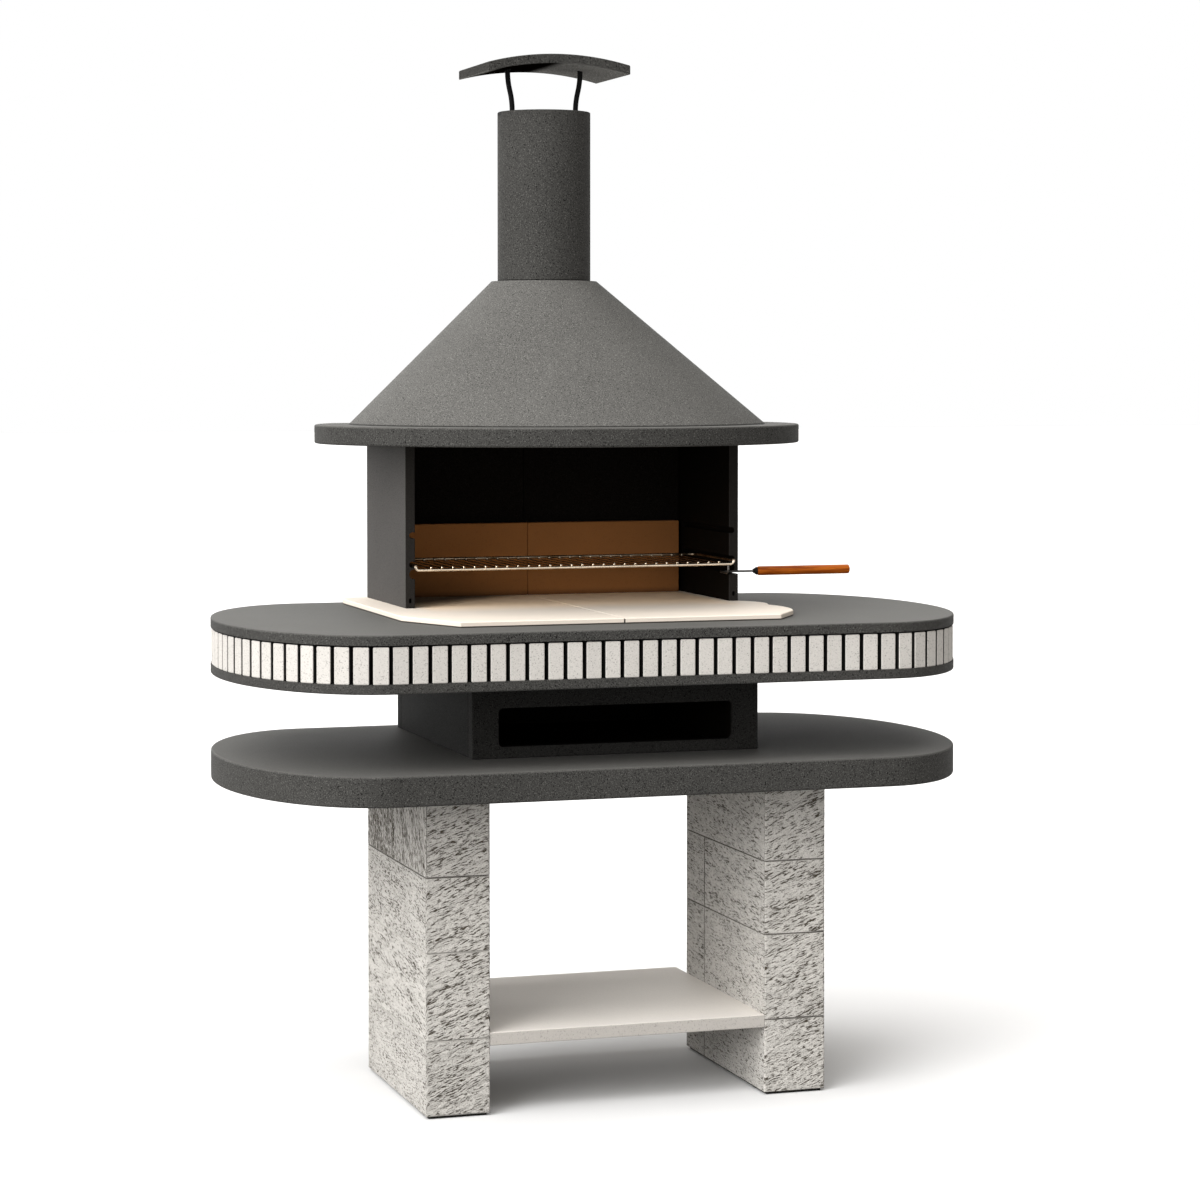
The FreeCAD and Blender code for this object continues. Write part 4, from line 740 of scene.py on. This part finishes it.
def slat_tree():
    """Upright slats at even steps round an oval, one of them in the middle of the front."""
    shape = Shape(
        "slat_row", half_straight="Float", half_depth="Float", end_length="Float", bottom="Float",
        width="Float", thickness="Float", height="Float", count="Int", edge_round="Float",
        unevenness="Float", seed="Int", finish="Material")
    width, thickness, height = shape.value("width"), shape.value("thickness"), shape.value("height")
    edge, seed = shape.value("edge_round"), shape.value("seed")
    ring = shape.add("GeometryNodeCurvePrimitiveCircle", None, {"Resolution": OVAL_POINTS, "Radius": 1.0})
    back, right, _ = shape.parts(shape.add("GeometryNodeInputPosition"))
    reach = right * shape.value("end_length") + right.math("SIGN") * shape.value("half_straight")
    oval = shape.point(reach, -(back * shape.value("half_depth")), shape.value("bottom"))
    path = shape.add("GeometryNodeSetPosition", None, {"Geometry": ring, "Position": oval})
    points = shape.add("GeometryNodeResampleCurve", None, {"Curve": path, "Count": shape.value("count")})
    along_path = {"axis": "X", "pivot_axis": "Z"}
    turn = shape.add("FunctionNodeAlignRotationToVector", along_path, {
        "Vector": shape.add("GeometryNodeInputTangent")})
    section = shape.add("GeometryNodeCurvePrimitiveQuadrilateral", None, {
        "Width": width, "Height": thickness})
    section = shape.add("GeometryNodeFilletCurve", {"mode": "POLY"}, {
        "Curve": section, "Count": 2, "Radius": edge})
    # The slat's line has four points: its two ends and, one rounding inside them, two in the middle
    line = shape.add("GeometryNodeCurvePrimitiveLine", None, {"End": shape.point(0.0, 0.0, height)})
    line = shape.add("GeometryNodeResampleCurve", None, {"Curve": line, "Count": 4})
    index = shape.add("GeometryNodeInputIndex")
    middle = abs(index - 1.5).math("LESS_THAN", 1.0)
    upper = index.math("GREATER_THAN", 1.5)
    lift = height * upper + edge * middle * (1.0 - 2.0 * upper)
    line = shape.add("GeometryNodeSetPosition", None, {
        "Geometry": line, "Position": shape.point(0.0, 0.0, lift)})
    taper = 1.0 - (1.0 - middle) * (2.0 * edge / width)
    slat = shape.add("GeometryNodeCurveToMesh", None, {
        "Curve": line, "Profile Curve": section, "Scale": taper, "Fill Caps": True})
    slat = shape.add("GeometryNodeTransform", None, {
        "Geometry": shape.smooth(slat, False), "Translation": shape.point(0.0, thickness / 2.0, 0.0)})
    slat = shape.store(slat, "depth", shape.parts(shape.add("GeometryNodeInputPosition"))[1])
    row = shape.add("GeometryNodeInstanceOnPoints", None, {
        "Points": points, "Instance": slat, "Rotation": turn})
    set_back = shape.point(0.0, shape.chance(seed) * shape.value("unevenness"), 0.0)
    row = shape.add("GeometryNodeTranslateInstances", None, {"Instances": row, "Translation": set_back})
    return shape.close(shape.store(row, "tint", shape.chance(seed + TINT_SEED), "INSTANCE"))


def oval_length(half_straight, half_depth, end_length, steps=2000):
    """The way round an oval of straight sides and elliptic ends."""
    angles = [math.pi * step / steps for step in range(steps + 1)]
    ring = [Vector((end_length * math.sin(angle), half_depth * math.cos(angle))) for angle in angles]
    return 4 * half_straight + 2 * sum((last - first).length for first, last in zip(ring, ring[1:]))


def build_slats():
    """Replace the worktop's slats by slats with rounded edges."""
    own = settings_of("worktop")
    low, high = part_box("worktop_slats")
    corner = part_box("worktop_top_plate")[1]
    half_straight = corner.x - SLAB_END_LENGTH
    half_depth, end_length = corner.y - SLAT_RECESS, SLAB_END_LENGTH - SLAT_RECESS
    count = round(oval_length(half_straight, half_depth, end_length) / SLAT_STEP)
    piece = slat_tree().make(
        "worktop_slat_row", half_straight=half_straight, half_depth=half_depth, end_length=end_length,
        bottom=low.z, width=SLAT_WIDTH, thickness=SLAT_THICKNESS, height=high.z - low.z - SLAT_GAP,
        count=count, edge_round=own.edge_round, unevenness=own.unevenness, seed=SLAT_SEED,
        finish=slat_finish(own.slat, own.gap_shade))
    ride(piece, FRAME_BODY, "slat_stone", "worktop_slats")


WIRE_COUNT = 28
WIRE_RADIUS = 1.3 * MM
WELD_RADIUS = 2.4 * MM
# Where the welds sit, from a wire's front and back end
FRONT_WELD = Vector((0.0, 2.5, 0.8)) * MM
BACK_WELD = Vector((0.0, -5.5, 3.0)) * MM
BURNT_SHARE = 0.75
STEM_ROUGHNESS = 0.4


def wire_tree():
    """Round wires side by side with a weld near each end."""
    shape = Shape(
        "wire_row", front="Vector", back="Vector", step="Vector", count="Int", radius="Float", sides="Int",
        weld="Float", front_weld="Vector", back_weld="Vector", finish="Material")
    line = shape.add("GeometryNodeCurvePrimitiveLine", None, {
        "Start": shape.value("front"), "End": shape.value("back")})
    section = shape.add("GeometryNodeCurvePrimitiveCircle", None, {
        "Resolution": shape.value("sides"), "Radius": shape.value("radius")})
    wire = shape.add("GeometryNodeCurveToMesh", None, {
        "Curve": line, "Profile Curve": section, "Fill Caps": True})
    ball = shape.smooth(shape.add("GeometryNodeMeshIcoSphere", None, {
        "Radius": shape.value("weld"), "Subdivisions": 2}))
    # Welds escape the dull colour: partly bare metal, partly a painted highlight, weaker at the back
    for end, highlight_and_bare in (("front", 1.0), ("back", 0.5)):
        place = shape.vector("ADD", shape.value(end), shape.value(f"{end}_weld"))
        weld = shape.add("GeometryNodeTransform", None, {"Geometry": ball, "Translation": place})
        bead = shape.store(weld, "weld", highlight_and_bare)
        wire = shape.add("GeometryNodeJoinGeometry", None, {0: [wire, bead]})
    row = shape.add("GeometryNodeMeshLine", None, {
        "Count": shape.value("count"), "Offset": shape.value("step")})
    return shape.close(shape.add("GeometryNodeInstanceOnPoints", None, {"Points": row, "Instance": wire}))


def build_grate():
    """Replace the grate's wires and finish its rods and handle."""
    own = settings_of("grate")
    low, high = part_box("grate_wires")
    burnt_steel = steel_finish("burnt_steel", own.steel, BURNT_SHARE)
    first, level = low.x + WIRE_RADIUS, (low.z + high.z) / 2
    step = (high.x - low.x - 2 * WIRE_RADIUS) / (WIRE_COUNT - 1)
    piece = wire_tree().make(
        "grate_wire_row", front=Vector((first, low.y, level)), back=Vector((first, high.y, level)),
        step=Vector((step, 0.0, 0.0)), count=WIRE_COUNT, radius=WIRE_RADIUS, sides=own.sides,
        weld=WELD_RADIUS, front_weld=FRONT_WELD, back_weld=BACK_WELD, finish=burnt_steel)
    ride(piece, GRATE_BODY, "grate_steel", "grate_wires")
    dress(burnt_steel, "grate_frame_rod")
    dress(steel_finish("grate_steel", own.steel, 0.0), "grate_front_rail")
    dress(steel_finish("handle_steel", own.stem, 0.0, STEM_ROUGHNESS), "grate_handle_stem")
    dress(painted_steel_finish("ferrule_steel", own.ferrule), "grate_handle_ferrule")
    dress(wood_finish(own.wood), "grate_handle_grip")


# How far the mortar stays behind the faces of the back panels
JOINT_DEPTH = 4.0 * MM
# Where painted shade begins and ends in the niche, soot with painted shade in the firebox, and the dark
# mark under the cap
NICHE_SIDE = 29.0 * MM
NICHE_FRONT = 12.0 * MM
NICHE_RISE = 50.0 * MM
NICHE_SKIN = 10.0 * MM
GROOVE_REACH = 13.0 * MM
WALL_MARGIN = 2.0 * MM
WALL_FRONT_DEPTH = 1.5 * MM
BACK_SKIN = 8.0 * MM
CAP_UNDERSIDE_MARK = -62.0 * MM
# Tones of single pieces, as shares of the concrete's tone; the pedestal and its panels are darker as
# painted shade under the worktop, and the cone is lighter as painted light on its upward slope
PEDESTAL_SHADE_GAINS = (0.42, 0.42, 0.42)
PANEL_SHADE_GAINS = (0.28, 0.28, 0.28)
WALL_GAINS = (1.35, 1.3, 1.3)
CONE_LIGHT_GAINS = (2.0, 2.0, 2.0)
# Strength of soot and painted shade, and of grains, on single pieces
FULL_SOOT_AND_SHADE = 1.0
FRONT_SOOT = 0.75
BACK_SOOT_AND_SHADE = 0.92
WALL_GRIT = 0.45
CONE_GRIT = 0.85


def filling_tree():
    """A plain filling between two corners."""
    shape = Shape("filling", low="Vector", high="Vector", finish="Material")
    size = shape.vector("SUBTRACT", shape.value("high"), shape.value("low"))
    cube = shape.add("GeometryNodeMeshCube", None, {"Size": shape.vector("ABSOLUTE", size)})
    return shape.close(shape.add("GeometryNodeTransform", None, {
        "Geometry": cube, "Translation": shape.middle()}))


def niche_shade():
    """A box of painted shade in the wood niche that reaches into the plates, but not to the panels'
    outsides.
    """
    low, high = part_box("pedestal_front_panel")
    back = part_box("pedestal_back_panel")[1].y
    first = Vector((low.x + NICHE_SIDE, low.y + NICHE_FRONT, top_of("base_slab") - NICHE_SKIN))
    last = Vector((high.x - NICHE_SIDE, back - NICHE_SKIN, high.z + NICHE_RISE))
    return first, last, FULL_SOOT_AND_SHADE


def firebox_soot_and_shade():
    """A box of soot with painted shade in the firebox and its grooves, and a weaker box of soot on the
    fronts of its walls.
    """
    left_low, left_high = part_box("firebox_left_wall")
    right_low, right_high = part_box("firebox_right_wall")
    front = left_low.y
    inside = (
        Vector((left_high.x - GROOVE_REACH, front + WALL_MARGIN, left_low.z)),
        Vector((right_low.x + GROOVE_REACH, right_high.y, right_high.z)), FULL_SOOT_AND_SHADE)
    fronts = (
        Vector((left_low.x, front - WALL_MARGIN, left_low.z)),
        Vector((right_high.x, front + WALL_FRONT_DEPTH, right_high.z)), FRONT_SOOT)
    return inside, fronts


def back_soot_and_shade():
    """A box of soot with painted shade on the firebox's back panels, but not on their rear."""
    low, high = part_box("firebox_back_left_panel")[0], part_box("firebox_back_right_panel")[1]
    return low - Vector((0.0, WALL_MARGIN, 0.0)), high - Vector((0.0, BACK_SKIN, 0.0)), BACK_SOOT_AND_SHADE


def build_concrete():
    """Finish slabs, plates, pedestal, walls, hood, flue and cap."""
    own = settings_of("concrete")
    tone = tuple(own.tone)
    niche = [niche_shade()]
    dress(concrete_finish("slab_concrete", tone, top_of("base_slab"), soot_and_shade=niche), "base_slab")
    dress(concrete_finish("worktop_concrete", tone, top_of("worktop_top_plate")), "worktop_top_plate")
    dress(concrete_finish("plate_concrete", tone, soot_and_shade=niche), "worktop_bottom_plate")
    # The worktop's core between the slats is painted near black as shade in the gaps
    dress(concrete_finish("core_concrete", tuple(own.soot_and_shade)), "worktop_core")
    # Painted shade: the pedestal and its panels are darker under the worktop
    pedestal = concrete_finish("pedestal_concrete", tinted(tone, PEDESTAL_SHADE_GAINS), soot_and_shade=niche)
    dress(pedestal, "pedestal_front_panel")
    panel = concrete_finish("panel_concrete", tinted(tone, PANEL_SHADE_GAINS), soot_and_shade=niche)
    dress(panel, "pedestal_left_panel", "pedestal_right_panel", "pedestal_back_panel")
    warm = tinted(tone, WALL_GAINS)
    wall = concrete_finish("wall_concrete", warm, soot_and_shade=firebox_soot_and_shade(), grit=WALL_GRIT)
    dress(wall, "firebox_left_wall", "firebox_right_wall")
    back = concrete_finish("back_concrete", warm, soot_and_shade=[back_soot_and_shade()], sheen=0.0)
    dress(back, "firebox_back_left_panel", "firebox_back_right_panel")
    joint = Vector((0.0, JOINT_DEPTH, 0.0))
    mortar = filling_tree().make(
        "back_panel_mortar", low=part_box("firebox_back_left_panel")[1] - joint,
        high=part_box("firebox_back_right_panel")[0] + joint, finish=back)
    ride(mortar, FRAME_BODY, "back_concrete")
    dress(concrete_finish("rim_concrete", tone, top_of("hood_rim")), "hood_rim")
    cone_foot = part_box("hood_cone")[0].z
    # Painted light: the cone is lighter on its upward slope
    cone = concrete_finish("cone_concrete", tinted(tone, CONE_LIGHT_GAINS), shade_foot=cone_foot, grit=CONE_GRIT)
    dress(cone, "hood_cone")
    dress(concrete_finish("flue_concrete", tone, shade_foot=top_of("hood_cone")), "flue_pipe")
    dress(concrete_finish("cap_concrete", tone, underside_mark=CAP_UNDERSIDE_MARK, sheen=0.0), "cap_plate")
    dress(painted_steel_finish("cap_steel", own.fittings), "flue_strap", "cap_left_post", "cap_right_post")


# How far behind the left wall's front the painted shadow of that wall on the hearth begins
CORNER_DEPTH = 30.0 * MM


def build_pale_stone():
    """Finish the shelf, the hearth and the firebricks."""
    own = settings_of("stone")
    dress(shelf_finish(own.shelf, top_of("lower_shelf")), "lower_shelf")
    wall_low, wall_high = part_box("firebox_left_wall")
    corner = Vector((wall_high.x, wall_low.y + CORNER_DEPTH))
    tile_low, tile_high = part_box("hearth_right_tile")
    joint = Vector((tile_low.x, tile_low.y, tile_high.z))
    hearth = hearth_finish(own.hearth, own.warm_light_tone, tile_low, joint, corner)
    dress(hearth, "hearth_left_tile", "hearth_right_tile")
    brick_low, brick_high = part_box("fireback_left_brick")[0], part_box("fireback_right_brick")[1]
    dress(brick_finish(own.brick, brick_low, brick_high), "fireback_left_brick", "fireback_right_brick")


# Half of the floor's width in metres and the sensor's width in millimetres
FLOOR_HALF = 60.0
SENSOR_WIDTH = 36.0


def add_sun(name, towards, energy, angle):
    """A soft light from far away."""
    lamp = bpy.data.lights.new(name, "SUN")
    lamp.energy = energy
    lamp.angle = angle
    sun = bpy.data.objects.new(name, lamp)
    sun.rotation_euler = Vector(towards).to_track_quat("Z", "Y").to_euler()
    bpy.context.scene.collection.objects.link(sun)


def add_floor(own):
    """A wide floor that throws back only a share of the light."""
    mesh = bpy.data.meshes.new("floor")
    corners = [(-1, -1), (1, -1), (1, 1), (-1, 1)]
    mesh.from_pydata([(x * FLOOR_HALF, y * FLOOR_HALF, 0) for x, y in corners], [], [(0, 1, 2, 3)])
    floor = bpy.data.objects.new("floor", mesh)
    bpy.context.scene.collection.objects.link(floor)
    paper = Finish("floor_paper")
    thrown_back = paper.add("ShaderNodeLightPath", out="Is Diffuse Ray")
    tone = paper.scale(own.floor, 1.0 - thrown_back * (1.0 - own.bounce))
    mesh.materials.append(paper.shade(Base_Color=tone, Roughness=0.9, Specular_IOR_Level=0.0))


def add_sky(own):
    """A white surround that lights the object softly and warmly from all sides."""
    world = bpy.data.worlds.new("studio")
    world.use_nodes = True
    world.node_tree.nodes.clear()
    sky = Graph(world.node_tree)
    diffuse = sky.add("ShaderNodeLightPath", out="Is Diffuse Ray")
    tint = sky.mix(diffuse, (1.0, 1.0, 1.0), own.fill)
    background = sky.add("ShaderNodeBackground", None, {
        "Color": tint, "Strength": 1.0 - diffuse * (1.0 - own.ambient)})
    sky.add("ShaderNodeOutputWorld", None, {"Surface": background})
    bpy.context.scene.world = world


def add_camera(own):
    """The camera that the scene is seen through."""
    lens = bpy.data.cameras.new("camera")
    lens.lens = own.lens
    lens.sensor_width = SENSOR_WIDTH
    lens.shift_y = own.frame_shift
    camera = bpy.data.objects.new("camera", lens)
    camera.location = own.camera_place
    camera.rotation_euler = own.camera_turn
    bpy.context.scene.collection.objects.link(camera)
    bpy.context.scene.camera = camera


def build_stage():
    """Floor, soft light and the camera."""
    own = settings_of("stage")
    bpy.context.scene.view_settings.view_transform = "Standard"
    add_floor(own)
    add_sky(own)
    add_sun("side_light", own.key_direction, own.key_strength, own.key_spread)
    add_sun("front_light", own.front_direction, own.front_strength, own.front_spread)
    add_sun("back_light", own.back_direction, own.back_strength, own.back_spread)
    add_sun("top_light", own.top_direction, own.top_strength, own.top_spread)
    add_camera(own)


# Operators and panel

class FIREPLACE_OT_pillars(bpy.types.Operator):
    """Build the split stone blocks of the pillars"""

    bl_idname = "fireplace.pillars"
    bl_label = "Pillars"

    def execute(self, context):
        build_pillars()
        return {"FINISHED"}


class FIREPLACE_OT_slats(bpy.types.Operator):
    """Build the slats round the worktop"""

    bl_idname = "fireplace.slats"
    bl_label = "Slats"

    def execute(self, context):
        build_slats()
        return {"FINISHED"}


class FIREPLACE_OT_grate(bpy.types.Operator):
    """Build the grate's wires and finish its rods and handle"""

    bl_idname = "fireplace.grate"
    bl_label = "Grate"

    def execute(self, context):
        build_grate()
        return {"FINISHED"}


class FIREPLACE_OT_concrete(bpy.types.Operator):
    """Finish the concrete slabs, walls, hood, flue and cap"""

    bl_idname = "fireplace.concrete"
    bl_label = "Concrete"

    def execute(self, context):
        build_concrete()
        return {"FINISHED"}


class FIREPLACE_OT_pale_stone(bpy.types.Operator):
    """Finish the shelf, the hearth and the firebricks"""

    bl_idname = "fireplace.pale_stone"
    bl_label = "Pale stone"

    def execute(self, context):
        build_pale_stone()
        return {"FINISHED"}


class FIREPLACE_OT_stage(bpy.types.Operator):
    """Set up the floor, the light and the camera"""

    bl_idname = "fireplace.stage"
    bl_label = "Stage"

    def execute(self, context):
        build_stage()
        return {"FINISHED"}


OPERATORS = (
    FIREPLACE_OT_pillars, FIREPLACE_OT_slats, FIREPLACE_OT_grate, FIREPLACE_OT_concrete,
    FIREPLACE_OT_pale_stone, FIREPLACE_OT_stage)

GROUPS = {
    "pillars": PillarSettings,
    "worktop": WorktopSettings,
    "concrete": ConcreteSettings,
    "stone": StoneSettings,
    "grate": GrateSettings,
    "stage": StageSettings,
}


class FIREPLACE_PT_panel(bpy.types.Panel):
    """Lists the fireplace's pieces and their settings"""

    bl_idname = "FIREPLACE_PT_panel"
    bl_label = "Outdoor Fireplace Grill"
    bl_space_type = "VIEW_3D"
    bl_region_type = "UI"
    bl_category = "Fireplace"

    def draw(self, context):
        for operator in OPERATORS:
            self.layout.operator(operator.bl_idname)
        for name, group in GROUPS.items():
            box = self.layout.box()
            box.label(text=group.__doc__)
            for field in group.__annotations__:
                box.prop(settings_of(name), field)


def register():
    """Register settings, operators and panel."""
    for name, group in GROUPS.items():
        bpy.utils.register_class(group)
        setattr(bpy.types.Scene, f"fireplace_{name}", bpy.props.PointerProperty(type=group))
    for item in (*OPERATORS, FIREPLACE_PT_panel):
        bpy.utils.register_class(item)


def unregister():
    """Take back what register added."""
    for item in (FIREPLACE_PT_panel, *reversed(OPERATORS)):
        bpy.utils.unregister_class(item)
    for name, group in reversed(GROUPS.items()):
        delattr(bpy.types.Scene, f"fireplace_{name}")
        bpy.utils.unregister_class(group)


def main():
    """Build every piece."""
    register()
    for operator in OPERATORS:
        family, name = operator.bl_idname.split(".")
        getattr(getattr(bpy.ops, family), name)()


if __name__ == "__main__":
    main()
